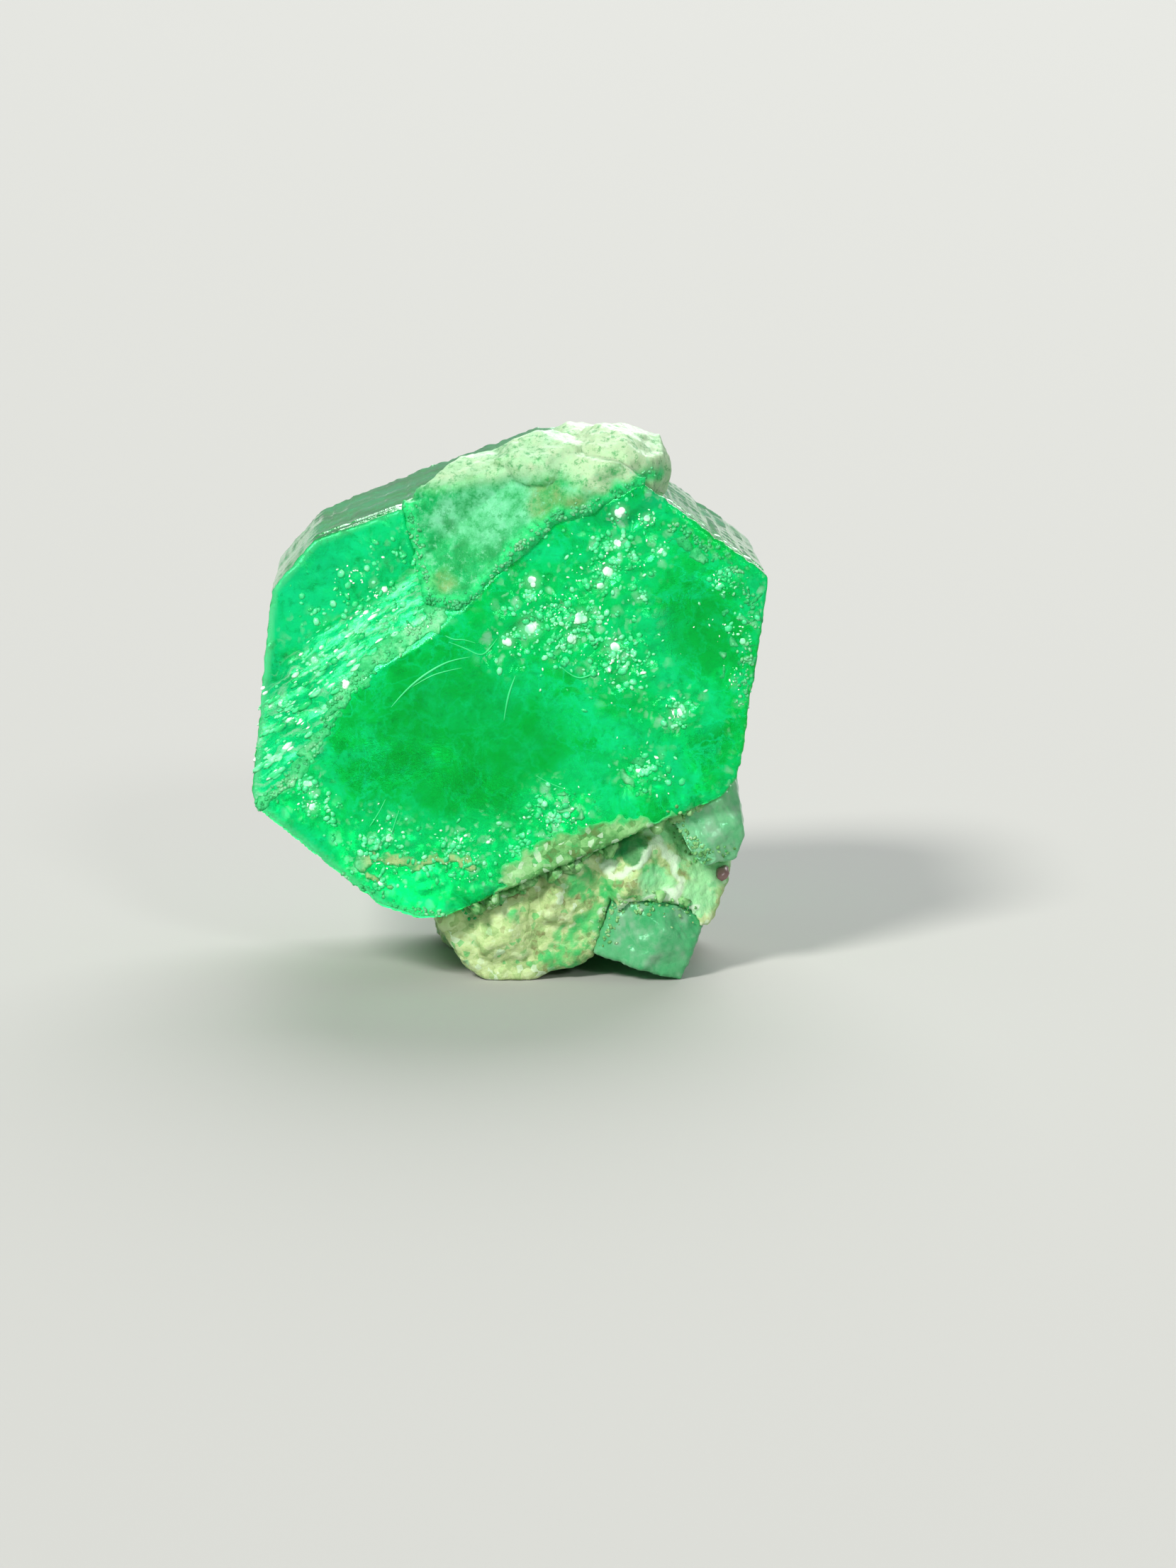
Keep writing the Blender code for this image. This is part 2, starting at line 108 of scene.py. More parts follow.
def carvedCopy(nodeName, pieceName, voxel, smoothing, relief, maskNames):
    # A copy of a node with even faces of the voxel's size in millimetres. Each vertex moves along its normal, and what
    # the relief says of its finish is kept as attributes.
    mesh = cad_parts[nodeName].data.copy()
    mesh.materials.clear()
    shape = bmesh.new()
    shape.from_mesh(mesh)
    bmesh.ops.remove_doubles(shape, verts=shape.verts, dist=0.000001)
    toMillimetres(shape)
    shape.to_mesh(mesh)
    shape.free()
    piece = addObject(pieceName, mesh)
    remesh = piece.modifiers.new("evenFaces", "REMESH")
    remesh.mode = "VOXEL"
    remesh.voxel_size = voxel
    fine = builtMesh(piece)
    piece.modifiers.clear()
    piece.data = fine
    shape = bmesh.new()
    shape.from_mesh(fine)
    for turn in range(smoothing):
        bmesh.ops.smooth_vert(shape, verts=shape.verts, factor=0.5, use_axis_x=True, use_axis_y=True, use_axis_z=True)
    shape.normal_update()
    layers = [shape.verts.layers.float.new(name) for name in maskNames]
    moves = []
    for vert in shape.verts:
        height, masks = relief(vert.co, vert.normal)
        moves.append(vert.normal * height)
        for layer, value in zip(layers, masks):
            vert[layer] = value
    for vert, move in zip(shape.verts, moves):
        vert.co += move
        vert.co.z = max(vert.co.z, 0.0)
    finishMesh(piece, shape)
    return piece


def finishMesh(piece, shape):
    bmesh.ops.scale(shape, vec=(mm, mm, mm), verts=shape.verts)
    shape.to_mesh(piece.data)
    shape.free()
    for face in piece.data.polygons:
        face.use_smooth = True
    print(piece.name, len(piece.data.polygons), "faces")


def newPiece(name):
    # A new object, and its mesh for editing
    return addObject(name, bpy.data.meshes.new(name)), bmesh.new()


def dress(piece, material, slotName, *nodeNames):
    piece.data.materials.clear()
    piece.data.materials.append(material)
    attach(piece, "root")
    if nodeNames:
        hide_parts(*nodeNames)


def addNode(tree, kind, values=None, links=None, **settings):
    # Adds a shader node with its settings, the values of its sockets and the links into them
    node = tree.nodes.new("ShaderNode" + kind)
    for name, value in settings.items():
        setattr(node, name, value)
    for socket, value in (values or {}).items():
        node.inputs[socket].default_value = value
    for socket, source in (links or {}).items():
        tree.links.new(source, node.inputs[socket])
    return node


def newMaterial(name, values):
    material = bpy.data.materials.new(name)
    material.use_nodes = True
    surface = material.node_tree.nodes["Principled BSDF"]
    for socket, value in values.items():
        surface.inputs[socket].default_value = value
    return material, material.node_tree, surface


def placed(tree, place, scale=(1, 1, 1), rotation=(0, 0, 0)):
    return addNode(tree, "Mapping", {"Scale": scale, "Rotation": rotation}, {"Vector": place}).outputs[0]


def millimetres(tree):
    # The piece's own coordinates in millimetres
    return placed(tree, addNode(tree, "TexCoord").outputs["Object"], (1 / mm,) * 3)


def noiseOf(tree, place, perMm, detail, roughness=0.5, distortion=0.0, output=0):
    values = {"Scale": perMm, "Detail": detail, "Roughness": roughness, "Distortion": distortion}
    return addNode(tree, "TexNoise", values, {"Vector": place}).outputs[output]


def warped(tree, place, perMm, detail, reach):
    # The place, moved by a noise of that reach in millimetres
    links = {0: noiseOf(tree, place, perMm, detail, output="Color"), 2: place}
    return addNode(tree, "VectorMath", {1: (reach,) * 3}, links, operation="MULTIPLY_ADD").outputs[0]


def ranged(tree, value, low, high, toLow=0.0, toHigh=1.0):
    # The range from low to high becomes the one from toLow to toHigh, and what lies outside is cut off
    values = {"From Min": low, "From Max": high, "To Min": toLow, "To Max": toHigh}
    return addNode(tree, "MapRange", values, {"Value": value}).outputs[0]


def combine(tree, operation, *terms):
    # A math node, whose terms are numbers or outputs of other nodes
    numbers = {index: term for index, term in enumerate(terms) if isinstance(term, float)}
    outputs = {index: term for index, term in enumerate(terms) if index not in numbers}
    return addNode(tree, "Math", numbers, outputs, operation=operation).outputs[0]


def times(tree, first, second):
    # The product of two outputs, or of an output and a number
    return combine(tree, "MULTIPLY", first, second)


def rampOf(tree, value, *stops):
    # Each stop is a position and a colour
    node = addNode(tree, "ValToRGB", links={0: value})
    elements = node.color_ramp.elements
    while len(elements) < len(stops):
        elements.new(0.5)
    for element, (position, colour) in zip(elements, stops):
        element.position = position
        element.color = toLinear(colour)
    return node.outputs[0]


def mixColour(tree, factor, first, second):
    # first and second are hex colours or colour outputs
    sockets = {6: first, 7: second}
    values = {socket: toLinear(colour) for socket, colour in sockets.items() if isinstance(colour, str)}
    links = {socket: colour for socket, colour in sockets.items() if socket not in values}
    return addNode(tree, "Mix", values, {0: factor, **links}, data_type="RGBA").outputs[2]


def maskOf(tree, name):
    return addNode(tree, "Attribute", attribute_name=name).outputs["Fac"]


def linkSurface(tree, surface, colour, roughness, height, strength, distance):
    # Colour and roughness, and a bump of that strength and distance in millimetres
    bump = addNode(tree, "Bump", {"Strength": strength, "Distance": distance * mm}, {"Height": height})
    for socket, source in (("Base Color", colour), ("Roughness", roughness), ("Normal", bump.outputs[0])):
        tree.links.new(source, surface.inputs[socket])


def mottledMaterial(name, perMm, detail, roughness, *stops):
    material, tree, surface = newMaterial(name, {"Roughness": roughness})
    tone = noiseOf(tree, millimetres(tree), perMm, detail)
    tree.links.new(rampOf(tree, tone, *stops), surface.inputs["Base Color"])
    return material


# The camera: 1.7 degrees to the left of the broken end and 9 degrees above it, with the crystal up and left of the
# middle of the picture
cameraView = {"target": (1.208, -3.0, 3.211), "azimuth": -1.7, "elevation": 9.0, "distance": 80.0,
              "frameHeight": 24.44, "sensor": 36, "clip": (0.001, 20.0)}

camera = addObject("camera", bpy.data.cameras.new("camera"))
bpy.context.scene.camera = camera
turn, lift = math.radians(cameraView["azimuth"]), math.radians(cameraView["elevation"])
backwards = Vector((math.sin(turn) * math.cos(lift), -math.cos(turn) * math.cos(lift), math.sin(lift)))
camera.location = (Vector(cameraView["target"]) + backwards * cameraView["distance"]) * mm
camera.rotation_euler = backwards.to_track_quat("Z", "Y").to_euler()
camera.data.sensor_width = cameraView["sensor"]
camera.data.lens = cameraView["sensor"] * cameraView["distance"] / cameraView["frameHeight"]
camera.data.clip_start, camera.data.clip_end = cameraView["clip"]

# The emerald prism. Its two broken lines are the edges of the slope between the two levels of the break. Round patches
# are (x, z, radius). Each long face is its direction in degrees and its distance from the prism's axis, and a rim also
# has the brightness of the painted highlight and painted glow along it. The shares say how strongly each zone of the
# break shows in a finish.
emerald = {
    "voxel": 0.054, "frontFrom": -1.9, "axis": (-0.035, 4.77), "girth": 3.9,
    "crest": [(-4.64, 2.55), (-4.02, 2.79), (-3.59, 3.05), (-3.26, 3.35), (-2.94, 3.75), (-2.76, 4.15), (-2.56, 4.53),
        (-2.08, 5.03), (-1.37, 5.42), (-0.72, 5.94), (-0.34, 6.39), (0.12, 6.91), (0.7, 7.43), (1.21, 7.94)],
    "stepFoot": [(-4.84, 2.67), (-4.39, 3.17), (-4.14, 3.67), (-3.96, 4.17), (-3.79, 4.72), (-3.56, 5.07),
        (-3.24, 5.39), (-2.74, 5.75), (-2.06, 6.07), (-1.48, 6.57), (-1.06, 6.97), (-0.54, 7.43), (0.06, 8.01),
        (0.62, 8.57)],
    "patchEdge": [(-1.66, 7.87), (-1.54, 7.32), (-1.4, 6.72), (-1.24, 6.07), (-0.76, 5.99), (-0.4, 6.37), (0.12, 6.89),
        (0.7, 7.39), (1.22, 7.53), (2.26, 8.07)],
    "pitted": [(0.45, 6.0, 0.95), (1.35, 5.85, 1.15), (1.8, 7.0, 1.0), (1.75, 5.15, 0.95), (2.5, 4.35, 0.7),
        (2.0, 3.4, 0.55), (-0.1, 5.4, 0.6)],
    "crushed": [(-2.1, 2.2, 0.9), (-1.2, 2.0, 0.9), (-0.4, 2.1, 0.9), (0.7, 2.75, 0.8), (-3.1, 3.0, 0.6)],
    "sparkling": [(-2.1, 6.3, 0.7), (-1.8, 6.9, 0.6), (-3.2, 5.4, 0.7)],
    "clearest": [(-0.9, 3.9, 1.9), (-0.2, 3.7, 1.6), (2.9, 5.6, 0.8)],
    "paler": [(2.1, 3.7, 0.9), (1.2, 3.1, 0.8), (2.9, 4.4, 0.6)],
    "pitSize": 0.32, "pitDepth": 0.085, "crushSize": 0.24, "crushDepth": 0.07, "swell": 0.06, "swellSize": 1.9,
    "fineSize": 0.14, "fineDepth": 0.01, "lowSize": 0.3, "lowDepth": 0.022,
    "ridgeAngle": 33, "ridgeSize": 0.16, "ridgeLength": 0.75, "ridgeDepth": 0.06,
    "rimFaces": [(174.2, 3.8, 1.0), (-160.0, 4.33, 1.0), (-129.4, 3.96, 1.0), (-108.4, 3.93, 0.9), (-88.0, 3.62, 0.7),
        (139.2, 3.72, 0.7), (110.6, 3.13, 0.5)],
    "speckFaces": [(-8.5, 3.77, 1.0), (53.3, 3.77, 1.0), (-38.0, 3.72, 1.0)],
    "rimWidth": (0.05, 0.13), "glowWidth": (0.0, 1.1), "speckWidth": (0.1, 0.42),
    "striaSize": 0.13, "striaDepth": 0.02, "rimLineSize": 0.16, "rimLineDepth": 0.022, "backDepth": 0.05,
    "shares": {
        "frost": {"plain": 0.18, "crushed": 0.4, "pitted": 0.05, "slope": 0.4, "low": 0.35},
        # pale: painted glow round the garden's bright spots, and painted highlight along the rims
        "pale": {"spotGlow": 0.55, "rim": 0.35},
        # light: painted glow on the low level, where light enters the crystal, and along the rims, besides the paler
        # tone of the frosted and paler zones
        "light": {"low": 1.0, "slope": 0.9, "crushed": 0.8, "pitted": 0.6, "rim": 1.0, "glow": 0.8, "paler": 0.7},
        "foam": {"pitted": 1.0, "crushed": 1.0, "speckle": 0.8, "edge": 0.7, "sparkling": 0.35}},
}

# The garden: flakes and tiny fluid drops along healed cracks, most of them just under the broken end. A spot is
# (x, z, radius), a ring also has its flakes' size, a mist, streak or foam is (x, z, spread, count), and a veil is its
# centre, its turns in degrees, its reach and its count.
garden = {
    "spots": [(0.35, 6.38, 0.085), (0.3, 5.68, 0.13), (1.09, 5.83, 0.1), (1.51, 6.54, 0.09), (0.96, 5.5, 0.09),
        (1.6, 5.37, 0.1), (1.7, 7.46, 0.09), (2.12, 7.36, 0.06), (1.67, 6.98, 0.07), (1.41, 6.33, 0.07),
        (-0.04, 5.47, 0.08), (2.61, 4.32, 0.1), (2.06, 6.15, 0.05), (2.34, 6.86, 0.05), (-3.09, 2.87, 0.07),
        (-3.15, 3.23, 0.07), (-2.56, 4.8, 0.08), (-3.56, 4.48, 0.06), (-3.04, 5.13, 0.07), (-1.9, 2.37, 0.05),
        (-2.03, 1.65, 0.04), (2.0, 3.41, 0.05)],
    "rings": [(1.8, 4.98, 0.27, 0.05), (-2.39, 6.42, 0.1, 0.022), (2.12, 7.38, 0.12, 0.025)],
    "mists": [(0.9, 5.75, 0.8, 330), (1.75, 6.9, 0.62, 170), (1.75, 5.1, 0.45, 120), (2.1, 3.5, 0.45, 60),
        (2.6, 4.4, 0.35, 40), (2.9, 5.6, 0.7, 70), (3.55, 5.6, 0.22, 50), (3.35, 6.35, 0.22, 50), (3.45, 4.9, 0.22, 30),
        (-1.95, 2.1, 0.62, 130), (-0.6, 2.1, 0.6, 110), (0.75, 2.75, 0.4, 110), (-2.35, 6.2, 0.45, 70),
        (-3.1, 3.0, 0.3, 50), (-1.6, 5.7, 0.3, 50)],
    "streaks": [(-3.5, 4.3, 0.42, 70), (-3.05, 4.9, 0.45, 70), (-2.5, 5.35, 0.45, 60), (-3.75, 3.6, 0.3, 50),
        (-1.95, 5.9, 0.35, 40)],
    "foam": [(0.85, 5.65, 0.85, 330), (1.7, 5.15, 0.55, 110), (1.6, 6.75, 0.65, 150), (2.15, 3.45, 0.4, 50),
        (2.6, 4.4, 0.35, 40), (3.6, 5.6, 0.25, 40), (3.3, 6.4, 0.25, 40), (-2.0, 2.15, 0.55, 110),
        (-0.9, 2.05, 0.55, 90), (0.6, 2.75, 0.4, 90), (-3.1, 3.05, 0.3, 40), (-2.1, 6.25, 0.55, 60),
        (-1.8, 6.7, 0.35, 30), (-2.9, 5.9, 0.5, 30), (0.2, 2.2, 0.5, 60), (-2.6, 2.6, 0.4, 40)],
    "veils": [((-1.4, -0.8, 4.4), (35, 10, 60), 1.7, 260), ((1.3, 0.3, 5.4), (70, -20, -35), 1.9, 280),
        ((0.2, 1.4, 3.4), (20, 50, 15), 1.6, 220), ((-1.6, 1.6, 6.0), (55, 15, 100), 1.5, 200),
        ((2.0, 1.2, 4.2), (10, 70, 40), 1.3, 160)],
    "flakesPerSpot": 5, "dropsPerSpot": 9, "flakesPerRing": 16, "flake": (0.015, 0.048), "drop": (0.02, 0.05),
    "frontFrom": -1.8, "veilMargin": 0.12,
}


def nearFaces(x, z, faces, width):
    # How near a place is to the long faces, from 0 further in than the width to the face's share on its rim
    best = 0.0
    for angle, distance, share in faces:
        a = math.radians(angle)
        gap = distance - (x - emerald["axis"][0]) * math.cos(a) - (z - emerald["axis"][1]) * math.sin(a)
        best = max(best, share * (1 - smoothStep(*width, gap)))
    return best


def turned(x, z, angle, length, width):
    # A place measured along and across a direction in the picture's plane
    a = math.radians(angle)
    return (x * math.cos(a) + z * math.sin(a)) / length, (z * math.cos(a) - x * math.sin(a)) / width


berylMasks = ("frost", "pale", "deep", "light", "foam", "streaky", "sideSheen")


def emeraldRelief(place, normal):
    x, y, z = place
    facing = smoothStep(0.35, 0.75, -normal.y) if y < emerald["frontFrom"] else 0.0
    backing = smoothStep(0.35, 0.65, normal.y)
    height = 0.0
    masks = dict.fromkeys(berylMasks, 0.0)
    if facing > 0:
        past = beyondLine(x, z, emerald["crest"])
        pastFoot = beyondLine(x, z, emerald["stepFoot"])
        slope = smoothStep(-0.06, 0.08, past) * (1 - smoothStep(-0.12, 0.1, pastFoot))
        level = 1 - smoothStep(-0.05, 0.05, past)
        low = smoothStep(-0.1, 0.15, pastFoot)
        pitted = blobs(x, z, emerald["pitted"]) * level
        crushed = blobs(x, z, emerald["crushed"]) * level
        clear = blobs(x, z, emerald["clearest"])
        swell = emerald["swell"] * rough(place, emerald["swellSize"], 2)
        pitPlace = place + Vector((3.1, 0, 1.7)) + 0.12 * shift(place, 0.25)
        bowl = -emerald["pitDepth"] * smoothStep(0.75, 0.1, cells(pitPlace, emerald["pitSize"])[0])
        near, second = cells(place, emerald["crushSize"])
        crush = emerald["crushDepth"] * (second - near - 0.4) + 0.03 * rough(place, 0.3)
        streak = Vector((*turned(x, z, emerald["ridgeAngle"], emerald["ridgeLength"], emerald["ridgeSize"]), 4.0))
        ridge = emerald["ridgeDepth"] * (abs(noise.noise(streak)) + 0.5 * abs(noise.noise(streak * 2.1)) - 0.35)
        fine = emerald["fineDepth"] * rough(place, emerald["fineSize"], 2)
        height += facing * (swell * (1 - slope) + pitted * bowl + crushed * crush + slope * ridge)
        height += facing * fine * (1 - 0.7 * clear)
        height += facing * low * emerald["lowDepth"] * rough(place + Vector((9, 0, 0)), emerald["lowSize"])
        border = abs(beyondLine(x, z, emerald["patchEdge"])) + 0.12 * wave(place, 0.2)
        zones = {
            "plain": level * (1 - clear), "crushed": crushed, "pitted": pitted, "slope": slope, "low": low,
            # painted glow round each garden spot
            "spotGlow": max(1 - smoothStep(0.6, 2.0, math.hypot(x - cx, z - cz) / radius)
                        for cx, cz, radius in garden["spots"]),
            # Painted light: a bright rim line and a wider painted glow along the long faces, for the light gathered
            # inside the crystal at its rims
            "rim": nearFaces(x, z, emerald["rimFaces"], emerald["rimWidth"]),
            "glow": nearFaces(x, z, emerald["rimFaces"], emerald["glowWidth"]),
            "speckle": nearFaces(x, z, emerald["speckFaces"], emerald["speckWidth"]),
            "paler": blobs(x, z, emerald["paler"]),
            "edge": 1 - smoothStep(0.04, 0.3, border),
            "sparkling": low * blobs(x, z, emerald["sparkling"])}
        for name, shares in emerald["shares"].items():
            masks[name] = facing * max(share * zones[zone] for zone, share in shares.items())
        masks["streaky"] = facing * slope
        masks["deep"] = facing * level * clear
    if facing < 1 and backing < 1:
        side = (1 - facing) * (1 - backing)
        girth = math.atan2(x, z - emerald["axis"][1]) * emerald["girth"]        # place round the prism
        stria = noise.noise(Vector((girth / emerald["striaSize"], y / 3.5, 1.0)))
        stria += 0.6 * noise.noise(Vector((girth / (0.45 * emerald["striaSize"]), y / 2.0, 7.0)))
        upperLeft = smoothStep(0.6, 0.9, normal.z) * smoothStep(0.8, -0.2, x)
        rimShare = upperLeft * smoothStep(-1.3, -2.3, y + 0.5 * wave(place, 0.8))
        rimLine = noise.noise(Vector((y / emerald["rimLineSize"], girth / 1.6, 3.0)))
        height += side * (emerald["striaDepth"] * stria * (1 - rimShare) + emerald["rimLineDepth"] * rimLine * rimShare)
        height += side * 0.012 * rough(place, 0.8, 2)
        masks["frost"] = max(masks["frost"], side * (0.10 + 0.25 * wave(place, 0.9)))
        # Painted sheen: the upper-left side face near the front rim is greyed in bands along its relief lines, standing
        # in for the sheen of light grazing it
        masks["sideSheen"] = side * rimShare * (0.75 + 0.5 * rimLine)
        masks["deep"] = max(masks["deep"], side * (0.45 + 0.3 * stria))
    if backing > 0:
        height += backing * emerald["backDepth"] * (rough(place, 0.7, 4) + 0.3 * wave(place, 0.2))
        masks["frost"] = max(masks["frost"], 0.45 * backing)
        masks["light"] = max(masks["light"], 0.5 * backing)
    return height, [min(max(value, 0.0), 1.0) for value in masks.values()]


emeraldBody = carvedCopy("emerald_crystal", "emerald_crystal_body", emerald["voxel"], 1, emeraldRelief, berylMasks)

# Beryl, clear green from chromium: vitreous prism faces with growth lines, a frosted break and colour that deepens with
# the length of the light's way through it. Its gloss is tinted, because most of what it sends back comes from inside.
# Mottles are the noise's range, how much of the tone it may take, and the tone.
beryl = {"ior": 1.58, "gloss": "#58ff98", "transmission": 0.66, "absorption": "#50f9c8", "density": 240.0,
         "smooth": 0.05, "frosted": 0.55, "deep": "#02b43e", "body": "#02e660", "light": "#14ffb0", "pale": "#bcffda",
         "speck": "#028a34", "sideSheenGreen": "#2e9c66", "cloudsPerMm": 0.9, "mottlesPerMm": 3.6, "feathersPerMm": 1.3,
         "specksPerMm": 8.0, "grainsPerMm": 9.0, "etchPerMm": 12.0, "etchStrength": 0.5, "etchDepth": 0.016,
         "mottles": ((0.5, 0.68, 0.8, "light"), (0.49, 0.27, 0.7, "speck")), "featherWidth": 0.022,
         "bubbles": ((4.6, 0.42), (9.0, 0.5)), "streakLength": 0.5, "streakWidth": 0.075}


def bubbles(tree, place, perMm, limit):
    # Round drops, one in each cell of the pattern, some bright and some not there
    drop = addNode(tree, "TexVoronoi", {"Scale": perMm}, {"Vector": place})
    bright = ranged(tree, drop.outputs["Color"], limit, limit + 0.35)
    return times(tree, bright, ranged(tree, drop.outputs["Distance"], 0.46, 0.16))


def berylMaterial(name, look):
    material, tree, surface = newMaterial(name, {
        "IOR": look["ior"], "Specular Tint": toLinear(look["gloss"]), "Transmission Weight": look["transmission"]})
    place = millimetres(tree)
    cloud = noiseOf(tree, place, look["cloudsPerMm"], 6.0, 0.64, 0.4)
    colour = rampOf(tree, cloud, (0.36, look["deep"]), (0.5, look["body"]), (0.66, look["light"]))
    # The light mask paints glow on the emerald's low level, where light enters, and along its rims, besides the paler
    # tone of its frosted and paler zones
    for tone, most in (("deep", 0.85), ("light", 0.7)):
        colour = mixColour(tree, times(tree, maskOf(tree, tone), most), colour, look[tone])
    calm = combine(tree, "MULTIPLY_ADD", maskOf(tree, "deep"), -0.65, 1.0)
    mottles = noiseOf(tree, place, look["mottlesPerMm"], 6.0, 0.72, 0.6)
    for low, high, most, tone in look["mottles"]:
        share = times(tree, ranged(tree, mottles, low, high, toHigh=most), calm)
        colour = mixColour(tree, share, colour, look[tone])
    # Feathers: fine bright threads of healed cracks, where a noise passes its middle value
    feather = noiseOf(tree, place, look["feathersPerMm"], 5.0, 0.6, 0.3)
    away = combine(tree, "ABSOLUTE", combine(tree, "SUBTRACT", feather, 0.5))
    thread = times(tree, ranged(tree, away, look["featherWidth"], 0.0, toHigh=0.6), calm)
    colour = mixColour(tree, thread, colour, look["light"])
    specks = noiseOf(tree, place, look["specksPerMm"], 3.0, 0.6)
    colour = mixColour(tree, ranged(tree, specks, 0.58, 0.76, toHigh=0.6), colour, look["speck"])
    # Painted sheen on the upper-left side face
    colour = mixColour(tree, maskOf(tree, "sideSheen"), colour, look["sideSheenGreen"])
    # Drops in the foam, darker gaps between them, and pale streaks along the slope of the break, which are painted
    # highlights of the glints on its ridges as well as the paleness of the frosted break
    bent = warped(tree, place, 3.5, 3.0, 0.35)
    foam = maskOf(tree, "foam")
    colour = mixColour(tree, times(tree, foam, 0.45), colour, look["body"])
    large, small = (bubbles(tree, bent, perMm, limit) for perMm, limit in look["bubbles"])
    drops = times(tree, combine(tree, "MAXIMUM", large, small), foam)
    slanted = placed(tree, bent, rotation=(0, math.radians(emerald["ridgeAngle"]), 0))
    drawn = placed(tree, slanted, (1 / look["streakLength"], 1 / look["streakLength"], 1 / look["streakWidth"]))
    lines = ranged(tree, noiseOf(tree, drawn, 1.0, 3.0, 0.6), 0.5, 0.68)
    lines = times(tree, lines, maskOf(tree, "streaky"))
    # The pale tone takes the foam's drops, the painted highlights of the slope's streaks, and the pale mask, which on
    # the break is painted glow round the spots and painted highlight along the rims
    bright = combine(tree, "MAXIMUM", combine(tree, "MAXIMUM", drops, lines), maskOf(tree, "pale"))
    colour = mixColour(tree, bright, colour, look["pale"])
    grain = noiseOf(tree, place, look["grainsPerMm"], 4.0, 0.6)
    frost = combine(tree, "MULTIPLY_ADD", grain, 0.3, maskOf(tree, "frost"))
    finish = ranged(tree, frost, 0.12, 1.1, look["smooth"], look["frosted"])
    # Etch marks of 0.05 to 0.1 mm, finer than the mesh, which run into growth lines along the prism
    lengthwise = placed(tree, place, (1.0, 0.04, 1.0))
    etch = noiseOf(tree, lengthwise, look["etchPerMm"], 4.0, 0.65)
    linkSurface(tree, surface, colour, finish, etch, look["etchStrength"], look["etchDepth"])
    absorption = {"Color": toLinear(look["absorption"]), "Density": look["density"]}
    depth = addNode(tree, "VolumeAbsorption", absorption)
    tree.links.new(depth.outputs[0], tree.nodes["Material Output"].inputs["Volume"])
    return material


dress(emeraldBody, berylMaterial("emeraldBeryl", beryl), "emerald", "emerald_crystal")


def frontOf(grown, x, z, steepest):
    # The depth at which a piece is met from the front, in millimetres, unless it is steeper there than the limit
    hit, point, normal, index = grown.ray_cast(Vector((x, -9, z)) * mm, Vector((0, 1, 0)))
    return point.y / mm if hit and normal.y < steepest else None


def onBreak(x, z, under=0.0):
    # A place so far under the surface of the broken end
    y = frontOf(emeraldBody, x, z, -0.4)
    return None if y is None or y > garden["frontFrom"] else Vector((x, y + under, z))


def roundSpot(x, z, angle, reach):
    return onBreak(x + reach * math.cos(angle), z + reach * math.sin(angle))


def deepInside(place, margin):
    # Whether a place is at least the margin inside the crystal
    hit, point, normal, index = emeraldBody.closest_point_on_mesh(place * mm)
    return (place * mm - point).dot(normal) < -margin * mm


draw = random.Random(7)
wholeTurn, anyTurn = 6.283, 6.3        # in radians, the second a little more, for random directions


def redraw(*key):
    # Starts the random numbers afresh for each grain, so that one more or less of them doesn't move all the others
    draw.seed(str(key))


def spun(axis):
    return Matrix.Rotation(draw.uniform(0, anyTurn), 4, axis)


def alongLine(points, spread, mean=0.0):
    # A random place near a broken line
    part = draw.random() * (len(points) - 1)
    near, far = (Vector(points[int(part) + i]) for i in (0, 1))
    return near.lerp(far, part % 1) + Vector((draw.gauss(0, 1), draw.gauss(mean, 1))) * spread


def addFlake(shape, place, size, stretch=(1, 0.45, 0.7), turn=None, subdivisions=1):
    turn = turn or spun("X") @ spun("Z")
    matrix = Matrix.Translation(place) @ turn @ Matrix.Diagonal((*(s * size for s in stretch), 1))
    bmesh.ops.create_icosphere(shape, subdivisions=subdivisions, radius=1.0, matrix=matrix)


flakes, shape = newPiece("garden_flakes")
drops, dropShape = newPiece("garden_drops")
for x, z, radius in garden["spots"]:
    for step in range(garden["flakesPerSpot"]):
        redraw("spot", x, z, step)
        place = roundSpot(x, z, draw.uniform(0, anyTurn), radius * 0.5 * draw.random() ** 0.5)
        if place:
            addFlake(shape, place, radius * draw.uniform(0.45, 0.85), (1, 0.35, 0.9), spun("Y"), 2)
    for step in range(garden["dropsPerSpot"]):        # smaller drops round it
        redraw("drop", x, z, step)
        place = roundSpot(x, z, draw.uniform(0, anyTurn), radius * draw.uniform(0.9, 2.6))
        if place:
            addFlake(dropShape, place, draw.uniform(*garden["drop"]), (1, 0.35, 0.8), spun("Y"))
for x, z, spread, count in garden["foam"]:
    for step in range(count):
        redraw("foam", x, z, step)
        place = onBreak(draw.gauss(x, spread * 0.5), draw.gauss(z, spread * 0.42))
        if place and noise.noise(place / 0.30 + Vector((4, 0, 0))) > -0.15:
            lean = spun("Y") @ Matrix.Rotation(draw.gauss(0, 0.3), 4, "X")
            addFlake(dropShape, place, 0.024 + 0.055 * draw.random() ** 2, (1, 0.35, draw.uniform(0.5, 0.95)), lean)
for x, z, ringRadius, size in garden["rings"]:
    for step in range(garden["flakesPerRing"]):
        redraw("ring", x, z, step)
        angle = step / garden["flakesPerRing"] * wholeTurn + draw.uniform(-0.15, 0.15)
        place = roundSpot(x, z, angle, ringRadius)
        if place and draw.random() < 0.8:
            addFlake(shape, place, size * draw.uniform(0.7, 1.2), (1, 0.5, 0.8))
for x, z, spread, count in garden["mists"]:
    for step in range(count):
        redraw("mist", x, z, step)
        under = draw.choice((0.0, 0.0, 0.01, 0.1, 0.25))
        place = onBreak(draw.gauss(x, spread * 0.55), draw.gauss(z, spread * 0.5), under)
        if place and wave(place, 0.22) > -0.10:        # in clusters
            addFlake(shape, place, draw.uniform(*garden["flake"]) * draw.uniform(0.35, 1.0))
